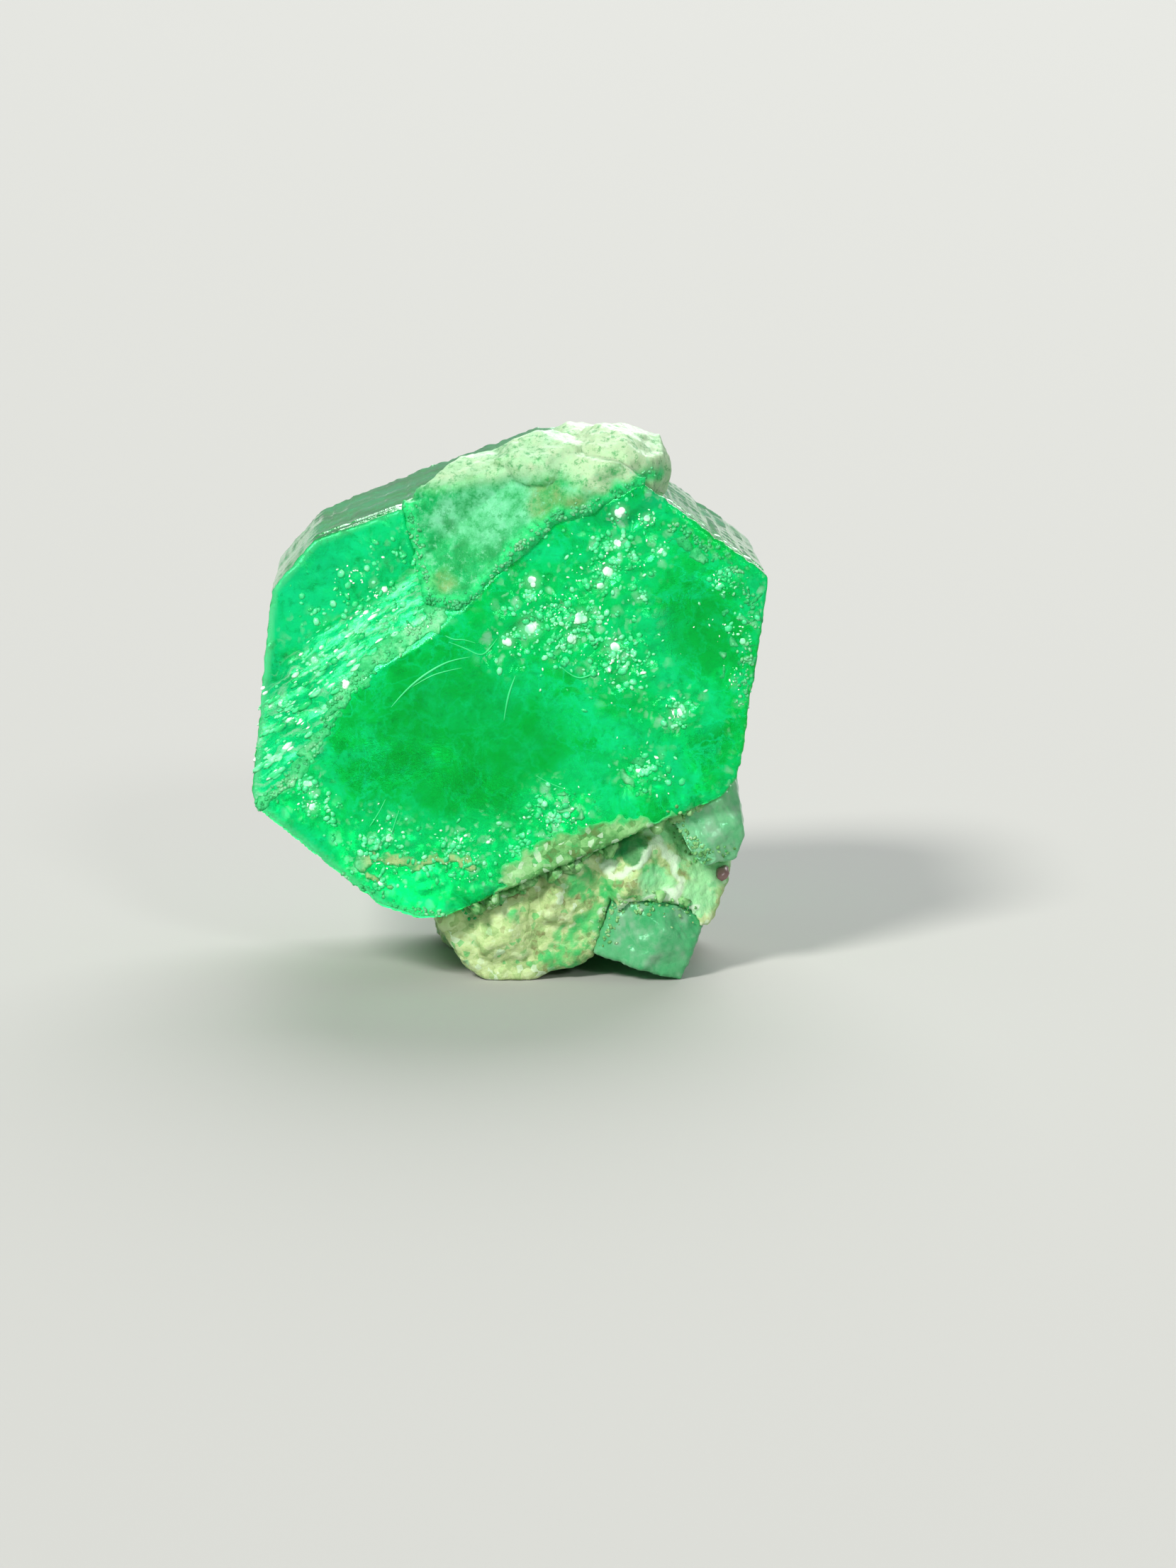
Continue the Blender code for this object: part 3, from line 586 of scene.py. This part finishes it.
slant = Matrix.Rotation(math.radians(-emerald["ridgeAngle"]), 4, "Y")
for x, z, spread, count in garden["streaks"]:
    for step in range(count):
        redraw("streak", x, z, step)
        x2, z2 = draw.gauss(x, spread * 0.6), draw.gauss(z, spread * 0.5)
        place = onBreak(x2, z2, draw.choice((0.0, 0.0, 0.005, 0.05)))
        if place:
            which = shape if draw.random() < 0.3 else dropShape
            size = 0.018 + 0.040 * draw.random() ** 2
            addFlake(which, place, size, (draw.uniform(1.0, 3.2), 0.35, draw.uniform(0.6, 1.2)), slant)
finishMesh(flakes, shape)
finishMesh(drops, dropShape)
veils, shape = newPiece("garden_veils")
for centre, turns, reach, count in garden["veils"]:
    aroundX, aroundY, aroundZ = (Matrix.Rotation(math.radians(angle), 4, axis) for angle, axis in zip(turns, "XYZ"))
    plane = aroundZ @ aroundY @ aroundX
    for step in range(count):
        redraw("veil", centre, step)
        flat = Vector((draw.gauss(0, 0.45), 0, draw.gauss(0, 0.38))) * reach
        flat.y = 0.30 * noise.noise(flat / 0.9) + 0.05 * draw.gauss(0, 1)
        place = Vector(centre) + plane @ flat
        if deepInside(place, garden["veilMargin"]):
            addFlake(shape, place, draw.uniform(0.02, 0.06), (1, 0.25, 0.8), plane)
finishMesh(veils, shape)

# Healed cracks in beryl: walls of drops and air, white where the light meets them. The drops lie a little further down
# and are tinted by the beryl over them, and a thread is one row of drops, so the green shows through it.
crack = {"white": "#f2fff4", "mint": "#8df5b4", "thread": "#44e090", "deepMint": "#12c468"}
crackMaterial = mottledMaterial("healedCrack", 3.0, 2.0, 0.25, (0.4, crack["white"]), (0.58, crack["mint"]))
dropMaterial = mottledMaterial("mintDrops", 4.0, 2.0, 0.3,
                               (0.38, crack["deepMint"]), (0.52, crack["thread"]), (0.66, crack["mint"]))
threadMaterial = mottledMaterial("healedCrackThread", 2.5, 3.0, 0.4, (0.0, crack["deepMint"]), (1.0, crack["thread"]))
for piece, material in ((flakes, crackMaterial), (veils, crackMaterial), (drops, dropMaterial)):
    dress(piece, material, "emerald")

# Wisps: long thin threads near the broken end, each as points (x, z), depth and thickness
wisps = [
    ([(-1.85, 4.44), (-1.72, 4.6), (-1.45, 4.86), (-1.15, 5.06), (-0.88, 5.18), (-0.62, 5.22)], 0.0, 0.02),
    ([(-1.55, 4.74), (-1.3, 4.9), (-1.02, 5.0), (-0.75, 5.05)], 0.0, 0.012),
    ([(0.08, 4.92), (0.0, 4.72), (-0.06, 4.48), (-0.1, 4.22)], 0.0, 0.02),
    ([(-0.95, 5.45), (-0.7, 5.36), (-0.45, 5.22), (-0.3, 5.35), (-0.2, 5.5)], 0.0, 0.016),
    ([(-1.1, 5.62), (-0.92, 5.48), (-0.7, 5.5), (-0.5, 5.42)], 0.0, 0.012),
    ([(0.8, 5.05), (1.0, 4.86), (1.25, 4.92), (1.42, 5.02)], 0.0, 0.014),
    ([(-2.2, 2.55), (-2.05, 2.75), (-1.95, 2.98)], 0.0, 0.014),
    ([(-1.9, 2.3), (-1.8, 2.62), (-1.74, 2.8)], 0.0, 0.014),
    ([(0.4, 3.35), (0.62, 3.2), (0.9, 3.12)], 0.0, 0.012),
]
curve = bpy.data.curves.new("wispLines", "CURVE")
curve.dimensions = "3D"
curve.bevel_depth = 1.0
curve.bevel_resolution = 1
for points, depth, thickness in wisps:
    spline = curve.splines.new("NURBS")
    spline.points.add(len(points) - 1)
    spline.order_u, spline.use_endpoint_u = 3, True
    for index, (point, (x, z)) in enumerate(zip(spline.points, points)):
        point.co = (x, (frontOf(emeraldBody, x, z, -0.4) or -3.0) + depth, z, 1)
        point.radius = thickness * math.sin(math.pi * (index + 0.35) / (len(points) - 0.3))
line = addObject("wispLines", curve)
wispPiece, shape = newPiece("garden_wisps")
wispPiece.data = builtMesh(line)
bpy.data.objects.remove(line)
shape.from_mesh(wispPiece.data)
bmesh.ops.holes_fill(shape, edges=[e for e in shape.edges if e.is_boundary], sides=0)
finishMesh(wispPiece, shape)
dress(wispPiece, threadMaterial, "emerald")

# Thin skins of calcite that still cling to the broken end: along the crest, at its corner, low down and by the rims.
# Each line has its half width at its left and at its right end.
skin = {
    "lines": [
        ([(-4.0, 2.84), (-3.72, 3.06), (-3.46, 3.3), (-3.16, 3.62), (-2.92, 4.02), (-2.76, 4.42), (-2.5, 4.74),
          (-2.1, 5.16), (-1.72, 5.42), (-1.42, 5.62), (-1.12, 5.9)], 0.1, 0.24),
        ([(-2.3, 2.02), (-1.9, 2.02), (-1.4, 1.98), (-0.95, 2.04), (-0.6, 1.96)], 0.15, 0.1),
        ([(-2.35, 1.84), (-2.1, 1.72), (-1.9, 1.58)], 0.07, 0.05),
        ([(2.55, 7.05), (2.78, 6.88), (3.0, 6.7)], 0.13, 0.05)],
    "specks": [(3.62, 5.9, 0.6), (3.55, 5.1, 0.5), (3.35, 6.5, 0.4), (1.0, 2.9, 0.45), (2.0, 3.4, 0.4)],
    "cream": [(-1.95, 2.02, 0.45), (-1.3, 2.0, 0.5), (-0.75, 2.0, 0.4), (-2.1, 1.72, 0.35)],
    "thickness": 0.016, "sunk": 0.012, "edge": 0.3, "streakAngle": 41, "streakLength": 0.42, "streakWidth": 0.1,
}
crust = {
    "line": ([(0.05, 1.78), (0.45, 2.02), (0.8, 2.22), (1.25, 2.4), (1.7, 2.46), (2.1, 2.52), (2.45, 2.6)],
             0.2, 0.14),
    "below": (-0.2, 2.6), "cream": [], "thickness": 0.04, "sunk": 0.02, "edge": 0.45,
}


def lineCover(x, z, points, wide, narrow):
    share = min(max((x - points[0][0]) / (points[-1][0] - points[0][0]), 0), 1)
    return 1 - abs(beyondLine(x, z, points)) / (wide + (narrow - wide) * share)


def skinCover(place):
    wander = place + 0.10 * shift(place, 0.2) + 0.05 * shift(place, 0.08)
    cover = max(lineCover(wander.x, wander.z, *line) for line in skin["lines"])
    specks = blobs(wander.x, wander.z, skin["specks"]) * wave(place, 0.13) - 0.22
    lengthwise = turned(place.x, place.z, skin["streakAngle"], skin["streakLength"], skin["streakWidth"])
    holes = 1.3 * max(noise.noise(Vector((*lengthwise, 2))), 0.0) + 0.6 * max(wave(place, 0.12), 0.0)
    return max(cover - 0.10 - holes, specks)


def crustCover(place):
    wander = place + 0.20 * shift(place, 0.3) + 0.09 * shift(place, 0.09)
    left, right = crust["below"]
    below = beyondLine(wander.x, wander.z, crust["line"][0]) < 0 and left < wander.x < right
    return max(lineCover(wander.x, wander.z, *crust["line"]), 0.5 if below else -1)


def skinPiece(name, cover, look):
    # Cuts the covered part out of the broken end's surface along its smooth outline, and gives it thickness
    piece, shape = newPiece(name)
    shape.from_mesh(emeraldBody.data)
    toMillimetres(shape)
    away = [v for v in shape.verts if v.co.y > emerald["frontFrom"] or v.normal.y > -0.25]
    bmesh.ops.delete(shape, geom=away, context="VERTS")
    amount = shape.verts.layers.float.new("cover")
    for vert in shape.verts:
        vert[amount] = cover(vert.co)
    crossed = {}
    for edge in shape.edges:
        first, second = (v[amount] for v in edge.verts)
        if first * second < 0:
            crossed[edge] = first / (first - second)
    bmesh.ops.bisect_edges(shape, edges=list(crossed), cuts=1, edge_percents=crossed)
    nearZero = 0.0001
    bmesh.ops.connect_verts(shape, verts=[v for v in shape.verts if abs(v[amount]) < nearZero])
    bare = [f for f in shape.faces if any(v[amount] < -nearZero for v in f.verts)]
    bmesh.ops.delete(shape, geom=bare, context="FACES")
    bmesh.ops.delete(shape, geom=[v for v in shape.verts if not v.link_faces], context="VERTS")
    shape.normal_update()
    creamLayer, thinLayer = shape.verts.layers.float.new("cream"), shape.verts.layers.float.new("thin")
    for vert in shape.verts:
        vert[creamLayer] = blobs(vert.co.x, vert.co.z, look["cream"])
        vert[thinLayer] = smoothStep(look["edge"], 0.0, vert[amount])
        vert.co -= vert.normal * look["sunk"]
    bmesh.ops.solidify(shape, geom=shape.faces[:], thickness=-look["thickness"])
    bmesh.ops.recalc_face_normals(shape, faces=shape.faces)
    finishMesh(piece, shape)
    return piece


calciteSkin = skinPiece("calcite_skin", skinCover, skin)
rockCrust = skinPiece("rock_crust", crustCover, crust)

# The foot of host rock
foot = {
    "voxel": 0.045, "outwards": 0.03, "grainSize": 0.21, "grainDepth": 0.05, "lumpSize": 0.75, "lumpDepth": 0.045,
    "fineSize": 0.07, "fineDepth": 0.016,
    "green": [(1.23, 0.92, 0.36), (0.96, 0.72, 0.36), (0.7, 0.38, 0.36), (1.0, 0.4, 0.36), (0.05, 1.06, 0.16),
        (2.2, 1.75, 0.3), (1.1, 1.6, 0.45), (1.55, 1.35, 0.45), (1.6, 2.1, 0.4)],
    "pale": [(2.45, 2.45, 0.45), (2.85, 2.1, 0.5), (3.15, 1.7, 0.5), (2.95, 1.25, 0.45), (2.3, 1.5, 0.45),
        (3.4, 2.2, 0.5)],
    "dark": [(1.92, 2.12, 0.4)],
    "brown": [(0.61, 1.12, 0.22), (0.57, 0.95, 0.2), (0.3, 1.45, 0.2), (0.97, 2.15, 0.22), (-0.87, 0.75, 0.16)],
    "white": [(1.55, 1.84, 0.2), (2.2, 2.43, 0.2), (2.34, 2.24, 0.16), (2.55, 1.37, 0.22), (1.46, 0.65, 0.14)],
    "veins": [[(2.07, 2.62), (2.27, 2.24), (2.6, 1.84), (2.68, 1.51), (2.47, 1.37), (2.62, 1.14), (2.95, 1.1)],
              [(2.47, 1.4), (2.05, 1.3), (1.62, 1.16), (1.42, 1.12)], [(2.27, 2.24), (2.02, 1.92), (1.72, 1.7)]],
}
footMasks = ("green", "pale", "brown", "dark", "white")


def footRelief(place, normal):
    x, y, z = place
    near, second = cells(place, foot["grainSize"])
    grain = foot["grainDepth"] * (min(second - near, 0.5) - 0.2)
    height = foot["outwards"] + grain + foot["lumpDepth"] * rough(place, foot["lumpSize"])
    height += foot["fineDepth"] * wave(place, foot["fineSize"])
    ground = smoothStep(0.25, 0.03, z) * smoothStep(-0.5, -0.9, normal.z)
    shown = smoothStep(0.8, -0.6, y)        # the patches that the photo shows are near the front
    wander = Vector((x, z, 0)) + 0.10 * shift(place, 0.22)
    crumbly = smoothStep(-0.3, 0.3, wave(place, 0.13) + 0.6 * wave(place, 0.07))
    shares = (0.45 + 0.55 * crumbly, 0.9, 0.6 * crumbly, 1, 1)
    masks = [shown * blobs(wander.x, wander.y, foot[name]) * share for name, share in zip(footMasks, shares)]
    vein = min(abs(beyondLine(wander.x, wander.y, line)) for line in foot["veins"])
    masks[-1] = max(masks[-1], shown * (1 - smoothStep(0.02, 0.09, vein)))
    behind = 1 - shown
    masks[0] = max(masks[0], behind * crumbly * smoothStep(0.0, 0.5, wave(place, 0.7)))
    masks[1] = max(masks[1], 0.7 * behind * smoothStep(0.0, 0.5, rough(place + Vector((5, 5, 5)), 0.9)))
    return height * (1 - ground), masks


matrixFoot = carvedCopy("matrix_foot", "matrix_foot_rock", foot["voxel"], 2, footRelief, footMasks)

# Host rock, a sugary mix of feldspar, mica and carbonate, tinted by the emerald: tan grains with green and brown
# specks. A speck is its channel of the cells' colour, the value that the channel has to pass, and its tone.
rock = {"gloss": "#b4ffb8", "tan": "#b8cc90", "cream": "#c8dcaa", "shade": "#98b878", "green": "#2cba64",
        "pale": "#98e8a8", "dark": "#0c7a44", "brown": "#86865a", "white": "#d4ecd0", "grainsPerMm": 8.0,
        "patchesPerMm": 1.8, "specksPerMm": 11.0, "sugarPerMm": 16.0, "bumpStrength": 0.7, "bumpDepth": 0.03,
        "specks": ((0, 0.91, "green"), (1, 0.95, "brown"), (2, 0.9, "white"))}


def rockMaterial(name, look, useMasks=True):
    material, tree, surface = newMaterial(name, {
        "Specular Tint": toLinear(look["gloss"]), "Subsurface Weight": 0.25, "Subsurface Radius": (0.12, 0.2, 0.12),
        "Subsurface Scale": mm})
    place = millimetres(tree)
    bent = warped(tree, place, 3.0, 2.0, 0.12)
    grains, specks = (addNode(tree, "TexVoronoi", {"Scale": look[scale]}, {"Vector": bent})
                      for scale in ("grainsPerMm", "specksPerMm"))
    tone, speckTone = (addNode(tree, "SeparateColor", links={0: dots.outputs["Color"]}).outputs
                       for dots in (grains, specks))
    # A third of each grain's colour is its own and two thirds are its patch's
    patches = ranged(tree, noiseOf(tree, bent, look["patchesPerMm"], 8.0, 0.72), 0.3, 0.7, toHigh=0.65)
    blend = combine(tree, "MULTIPLY_ADD", tone[0], 0.35, patches)
    stops = ((0.18, "brown"), (0.34, "shade"), (0.52, "tan"), (0.8, "cream"))
    colour = rampOf(tree, blend, *((position, look[colourName]) for position, colourName in stops))
    for channel, limit, colourName in look["specks"]:
        share = ranged(tree, speckTone[channel], limit, limit + 0.05, toHigh=0.55)
        colour = mixColour(tree, share, colour, look[colourName])
    if useMasks:
        for maskName in footMasks:        # a pale grain has to lie further inside a patch to take its colour
            mask = maskOf(tree, maskName)
            amount = ranged(tree, combine(tree, "MULTIPLY_ADD", speckTone[1], -0.6, mask), -0.05, 0.35, toHigh=0.85)
            colour = mixColour(tree, times(tree, amount, mask), colour, look[maskName])
    else:
        colour = mixColour(tree, maskOf(tree, "thin"), colour, look["green"])
    finish = ranged(tree, tone[1], 0.0, 1.0, 0.3, 0.75)
    sugar = noiseOf(tree, place, look["sugarPerMm"], 4.0, 0.7)
    edges = combine(tree, "MULTIPLY_ADD", grains.outputs["Distance"], -0.6, sugar)
    linkSurface(tree, surface, colour, finish, edges, look["bumpStrength"], look["bumpDepth"])
    return material


dress(matrixFoot, rockMaterial("hostRock", rock), "matrix", "matrix_foot")
crustRock = dict(rock, tan="#7cb872", cream="#9ccc90", shade="#529452", brown="#5e7c44")
crustMaterial = rockMaterial("hostRockCrust", crustRock, False)
dress(rockCrust, crustMaterial, "matrix")

# Loose grains along the seam, where the host rock runs on under the crystal's lower edge and round the pale crystals.
# Each line has its depths and its count.
seam = {"lines": [([(-0.6, 1.24), (0.0, 1.5), (1.0, 1.95), (1.6, 2.2)], (-2.88, -2.45), 210),
                  ([(2.3, 2.52), (2.65, 2.68), (3.0, 2.82)], (-2.88, -2.5), 50),
                  ([(1.62, 1.22), (2.05, 1.3), (2.5, 1.34), (2.92, 1.14)], (-2.62, -2.2), 14)],
        "size": (0.04, 0.15), "spread": 0.055, "lower": -0.6, "fineAbove": 0.07, "uneven": 0.8}
seamGrains, shape = newPiece("seam_grains")


def touches(place, reach):
    # Whether a grain of that reach touches the emerald or the foot
    return any((grown.closest_point_on_mesh(place * mm)[1] - place * mm).length < reach * mm
               for grown in (emeraldBody, matrixFoot))


for points, depths, count in seam["lines"]:
    for step in range(count):
        redraw("seam", points[0], step)
        x, z = alongLine(points, seam["spread"], seam["lower"])
        size = seam["size"][0] + (seam["size"][1] - seam["size"][0]) * draw.random() ** 2
        turn = spun("X") @ spun("Z")
        place = Vector((x, draw.uniform(*depths), z))
        matrix = Matrix.Translation(place) @ turn @ Matrix.Diagonal((1, draw.uniform(0.6, 1), draw.uniform(0.6, 1), 1))
        if not touches(place, 0.8 * size):
            continue
        subdivisions = 2 if size > seam["fineAbove"] else 1
        grain = bmesh.ops.create_icosphere(shape, subdivisions=subdivisions, radius=size, matrix=matrix)
        for vert in grain["verts"]:
            vert.co += noise.noise_vector(vert.co * 7) * size * seam["uneven"]
finishMesh(seamGrains, shape)
dress(seamGrains, crustMaterial, "matrix")

# The calcite cap over the top corner
cap = {
    "voxel": 0.042, "outwards": 0.03, "wallsOutwards": 0.08, "grainSize": 0.26, "grainDepth": 0.035, "lumpSize": 0.6,
    "lumpDepth": 0.05, "fineSize": 0.08, "fineDepth": 0.01,
    "knob": [(1.5, 8.35, 0.85), (2.1, 8.0, 0.6)],
    "khaki": [(0.55, 7.62, 0.4), (0.98, 7.5, 0.35), (-1.05, 6.35, 0.3), (-1.2, 6.0, 0.25), (2.05, 7.72, 0.25)],
    "smoothPatch": [(-0.4, 7.35, 0.65), (0.1, 7.6, 0.5), (-0.9, 7.3, 0.4)],
    "spots": [(-0.28, 6.75, 0.22), (-0.05, 6.95, 0.16), (-0.75, 6.85, 0.16), (-0.1, 6.5, 0.2), (1.55, 8.05, 0.25),
        (-0.9, 7.2, 0.15), (-0.5, 6.3, 0.16)],
}


def capRelief(place, normal):
    x, y, z = place
    near, second = cells(place + Vector((0, 5, 0)), cap["grainSize"])
    front = smoothStep(0.3, 0.8, -normal.y)
    smoothed = front * blobs(x, z, cap["smoothPatch"])
    grain = cap["grainDepth"] * (min(second - near, 0.5) - 0.2)
    lump = cap["lumpDepth"] * rough(place, cap["lumpSize"]) * (1 - 0.6 * front)
    walls = (1 - front) * smoothStep(0.75, 0.45, normal.z)
    height = cap["outwards"] + cap["wallsOutwards"] * walls + (1 - 0.8 * smoothed) * (grain + lump)
    height += cap["fineDepth"] * wave(place, cap["fineSize"])
    wander = Vector((x, z, 0)) + 0.10 * shift(place, 0.22)
    veneer = smoothStep(8.1, 7.75, z - 0.10 * x) * smoothStep(-1.9, -2.3, y)
    border = 1 - smoothStep(0.02, 0.2, abs(beyondLine(wander.x, wander.y, emerald["patchEdge"])))
    knob, khaki, spots = (blobs(wander.x, wander.y, cap[name]) for name in ("knob", "khaki", "spots"))
    return height, (knob, khaki * front, spots * smoothStep(-1.0, -2.0, y), veneer, smoothed, border * veneer)


capMasks = ("knob", "khaki", "spots", "veneer", "smooth", "border")
calciteCap = carvedCopy("calcite_cap", "calcite_cap_crust", cap["voxel"], 1, capRelief, capMasks)

# Calcite, sugary and a little translucent: cream on the knob, tinted green where it is a thin skin over the emerald.
calcite = {"gloss": "#80ffa8", "cream": "#b4cca6", "streak": "#a3cda2", "shade": "#8fb784", "veneer": "#14a85c",
           "veneerShade": "#108c44", "smooth": "#76c89c", "khaki": "#80985e", "spots": "#1c8040", "border": "#24cc72",
           "old": "#a8c080", "patchesPerMm": 2.4, "finePerMm": 9.0, "sugarPerMm": 11.0, "bumpStrength": 0.6,
           "bumpDepth": 0.03}


def calciteMaterial(name, look, useMasks=True):
    material, tree, surface = newMaterial(name, {
        "Specular Tint": toLinear(look["gloss"]), "Subsurface Weight": 0.35, "Subsurface Radius": (0.15, 0.25, 0.15),
        "Subsurface Scale": mm})
    place = millimetres(tree)
    patches = noiseOf(tree, place, look["patchesPerMm"], 7.0, 0.68)
    colour = rampOf(tree, patches, (0.32, look["shade"]), (0.48, look["streak"]), (0.62, look["cream"]))
    veneer = maskOf(tree, "veneer")
    if useMasks:
        thin = rampOf(tree, patches, (0.34, look["veneerShade"]), (0.52, look["veneer"]), (0.7, look["smooth"]))
        colour = mixColour(tree, veneer, colour, thin)
        colour = mixColour(tree, maskOf(tree, "knob"), colour, look["cream"])
        broken = ranged(tree, patches, 0.35, 0.6, 0.2, 0.9)
        for maskName in ("smooth", "khaki", "spots"):
            share = times(tree, maskOf(tree, maskName), broken)
            colour = mixColour(tree, share, colour, look[maskName])
        colour = mixColour(tree, maskOf(tree, "border"), colour, look["border"])
    else:
        colour = mixColour(tree, maskOf(tree, "cream"), colour, look["old"])
        colour = mixColour(tree, maskOf(tree, "thin"), colour, look["shade"])
    # Fine dark and light grains, 0.1 mm across
    lightTone = mixColour(tree, veneer, look["streak"], look["smooth"])
    fine = noiseOf(tree, place, look["finePerMm"], 4.0, 0.75)
    for low, high, tone in ((0.49, 0.36, look["veneerShade"]), (0.55, 0.68, lightTone)):
        colour = mixColour(tree, ranged(tree, fine, low, high, toHigh=0.7), colour, tone)
    sugar = noiseOf(tree, place, look["sugarPerMm"], 5.0, 0.7)
    finish = ranged(tree, sugar, 0.3, 0.7, 0.18, 0.6)
    linkSurface(tree, surface, colour, finish, sugar, look["bumpStrength"], look["bumpDepth"])
    return material


dress(calciteCap, calciteMaterial("sugaryCalcite", calcite), "calcite", "calcite_cap")
thinCalcite = dict(calcite, cream="#86dc9e", streak="#46c87a", shade="#1fae5c")
skinMaterial = calciteMaterial("calciteSkin", thinCalcite, False)
dress(calciteSkin, skinMaterial, "calcite")

# The two pale crystals in the foot
paleCrystals = {"voxel": 0.035, "outwards": 0.03, "waveSize": 0.45, "waveDepth": 0.035, "etchSize": 0.12,
                "etchDepth": 0.012, "lineAngle": 118, "lineLength": 1.1, "lineSize": 0.055, "lineDepth": 0.012}


def paleRelief(place, normal):
    pale = paleCrystals
    height = pale["outwards"] + pale["waveDepth"] * rough(place, pale["waveSize"])
    height += pale["etchDepth"] * wave(place, pale["etchSize"])
    along, across = turned(place.x, place.z, pale["lineAngle"], pale["lineLength"], pale["lineSize"])
    growth = noise.noise(Vector((along, across, place.y / 0.9)))
    height += pale["lineDepth"] * growth
    ground = smoothStep(0.15, 0.02, place.z) * smoothStep(-0.5, -0.9, normal.z)
    milky = smoothStep(0.0, 0.7, 0.4 * growth + wave(place, 0.3) + 0.5 * wave(place, 0.1))
    masks = dict.fromkeys(berylMasks, 0.0)
    masks.update(frost=0.3 + 0.3 * wave(place, 0.3), pale=0.5 * milky,
                 deep=0.6 * smoothStep(1.5, 1.2, place.z), light=0.5 * smoothStep(1.2, 1.5, place.z),
                 foam=0.5 * smoothStep(-0.1, 0.5, wave(place, 0.5)))
    return height * (1 - ground), masks.values()


# Cloudy beryl, full of tiny fluid drops: pale, milky green and see-through only near its edges.
cloudyBeryl = dict(beryl, transmission=0.6, density=25.0, smooth=0.1, frosted=0.4, gloss="#a8ffcc",
                   deep="#44e488", body="#84f2ac", light="#acfac4", pale="#dcfae2", speck="#54d88c")
cloudyMaterial = berylMaterial("cloudyPaleBeryl", cloudyBeryl)
paleFine = []
for nodeName in ("pale_crystal_point", "pale_crystal_plate"):
    crystal = carvedCopy(nodeName, nodeName + "_fine", paleCrystals["voxel"], 1, paleRelief, berylMasks)
    dress(crystal, cloudyMaterial, "pale_beryl", nodeName)
    paleFine.append(crystal)

# Crumbs of calcite along the borders of the cap's thin part, the crest and the rims, and of host rock round the pale
# crystals. Each line has its count and its spread.
crumbs = {
    "size": (0.014, 0.05), "frontFrom": -1.2,
    "calcite_crumbs": (skinMaterial, "calcite", [
        (emerald["patchEdge"], 300, 0.055), (skin["lines"][0][0], 160, 0.06),
        ([(2.5, 7.3), (3.0, 6.93), (3.55, 6.5), (3.74, 5.9), (3.7, 5.0), (3.6, 4.4)], 160, 0.07),
        ([(-4.0, 2.78), (-3.0, 1.95), (-1.9, 1.35), (-0.6, 1.05)], 90, 0.05)]),
    "foot_crumbs": (crustMaterial, "matrix", [
        ([(1.5, 0.5), (1.6, 1.15), (2.2, 1.24), (2.92, 1.1)], 110, 0.08),
        ([(2.55, 2.8), (2.74, 2.25), (2.98, 2.02), (3.42, 2.05)], 110, 0.08)]),
}
for name in ("calcite_crumbs", "foot_crumbs"):
    material, slotName, lines = crumbs[name]
    piece, shape = newPiece(name)
    for points, count, spread in lines:
        for step in range(count):
            redraw(name, points[0], step)
            x, z = alongLine(points, spread)
            depths = [frontOf(grown, x, z, -0.3) for grown in (emeraldBody, calciteCap, matrixFoot, *paleFine)]
            nearest = min((depth for depth in depths if depth is not None), default=0.0)
            if nearest < crumbs["frontFrom"]:
                addFlake(shape, Vector((x, nearest, z)), draw.uniform(*crumbs["size"]), (1, 0.6, 0.8))
    finishMesh(piece, shape)
    dress(piece, material, slotName)

# One small grain of garnet on the right edge of the foot
garnet = {"place": (3.36, 1.62), "size": 0.13, "stretch": (1, 0.8, 1.2), "uneven": 0.06, "colour": "#8a6a66"}
garnetGrain, shape = newPiece("garnet_grain")
redraw("garnet")
x, z = garnet["place"]
addFlake(shape, Vector((x, frontOf(matrixFoot, x, z, 0.0), z)), garnet["size"], garnet["stretch"], None, 2)
for vert in shape.verts:
    vert.co += noise.noise_vector(vert.co * 8) * garnet["uneven"]
finishMesh(garnetGrain, shape)
# Garnet: glassy, dull pinkish brown
garnetMaterial = newMaterial("brownGarnet", {"Base Color": toLinear(garnet["colour"]), "Roughness": 0.3})[0]
dress(garnetGrain, garnetMaterial, "matrix")

# The plain floor and soft studio lights
studio = {"floor": "#aeaeaa", "floorRadius": 20000, "floorBelow": 0.002, "world": "#c8d0d2", "worldStrength": 0.45}
lights = {        # soft lights so far away that the whole floor gets the same light
    "key": {"place": (-45, -70, 62), "angle": 13, "strength": 3.5, "colour": "#fffdf8"},
    "glow": {"place": (15, 75, 60), "angle": 50, "strength": 2.8, "colour": "#ffffff"},
    "glints": {"place": (30, -90, 42), "angle": 8, "strength": 0.7, "colour": "#ffffff"},
}

floor, shape = newPiece("floor")
bmesh.ops.create_circle(shape, cap_ends=True, segments=96, radius=studio["floorRadius"])
bmesh.ops.translate(shape, vec=(0, 0, -studio["floorBelow"]), verts=shape.verts)
finishMesh(floor, shape)
# Matt painted board: even and without gloss
floorMaterial = newMaterial("paleStudioBoard", {"Base Color": toLinear(studio["floor"]), "Roughness": 0.85})[0]
floor.data.materials.append(floorMaterial)

world = bpy.data.worlds.new("studio")
world.use_nodes = True
background = world.node_tree.nodes["Background"].inputs
background["Color"].default_value = toLinear(studio["world"])
background["Strength"].default_value = studio["worldStrength"]
bpy.context.scene.world = world
for name, look in lights.items():
    lamp = addObject(name, bpy.data.lights.new(name, "SUN"))
    lamp.data.angle, lamp.data.energy = math.radians(look["angle"]), look["strength"]
    lamp.data.color = toLinear(look["colour"])[:3]
    lamp.rotation_euler = Vector(look["place"]).to_track_quat("Z", "Y").to_euler()
bpy.context.scene.view_settings.view_transform = "Standard"
print("studio ready")
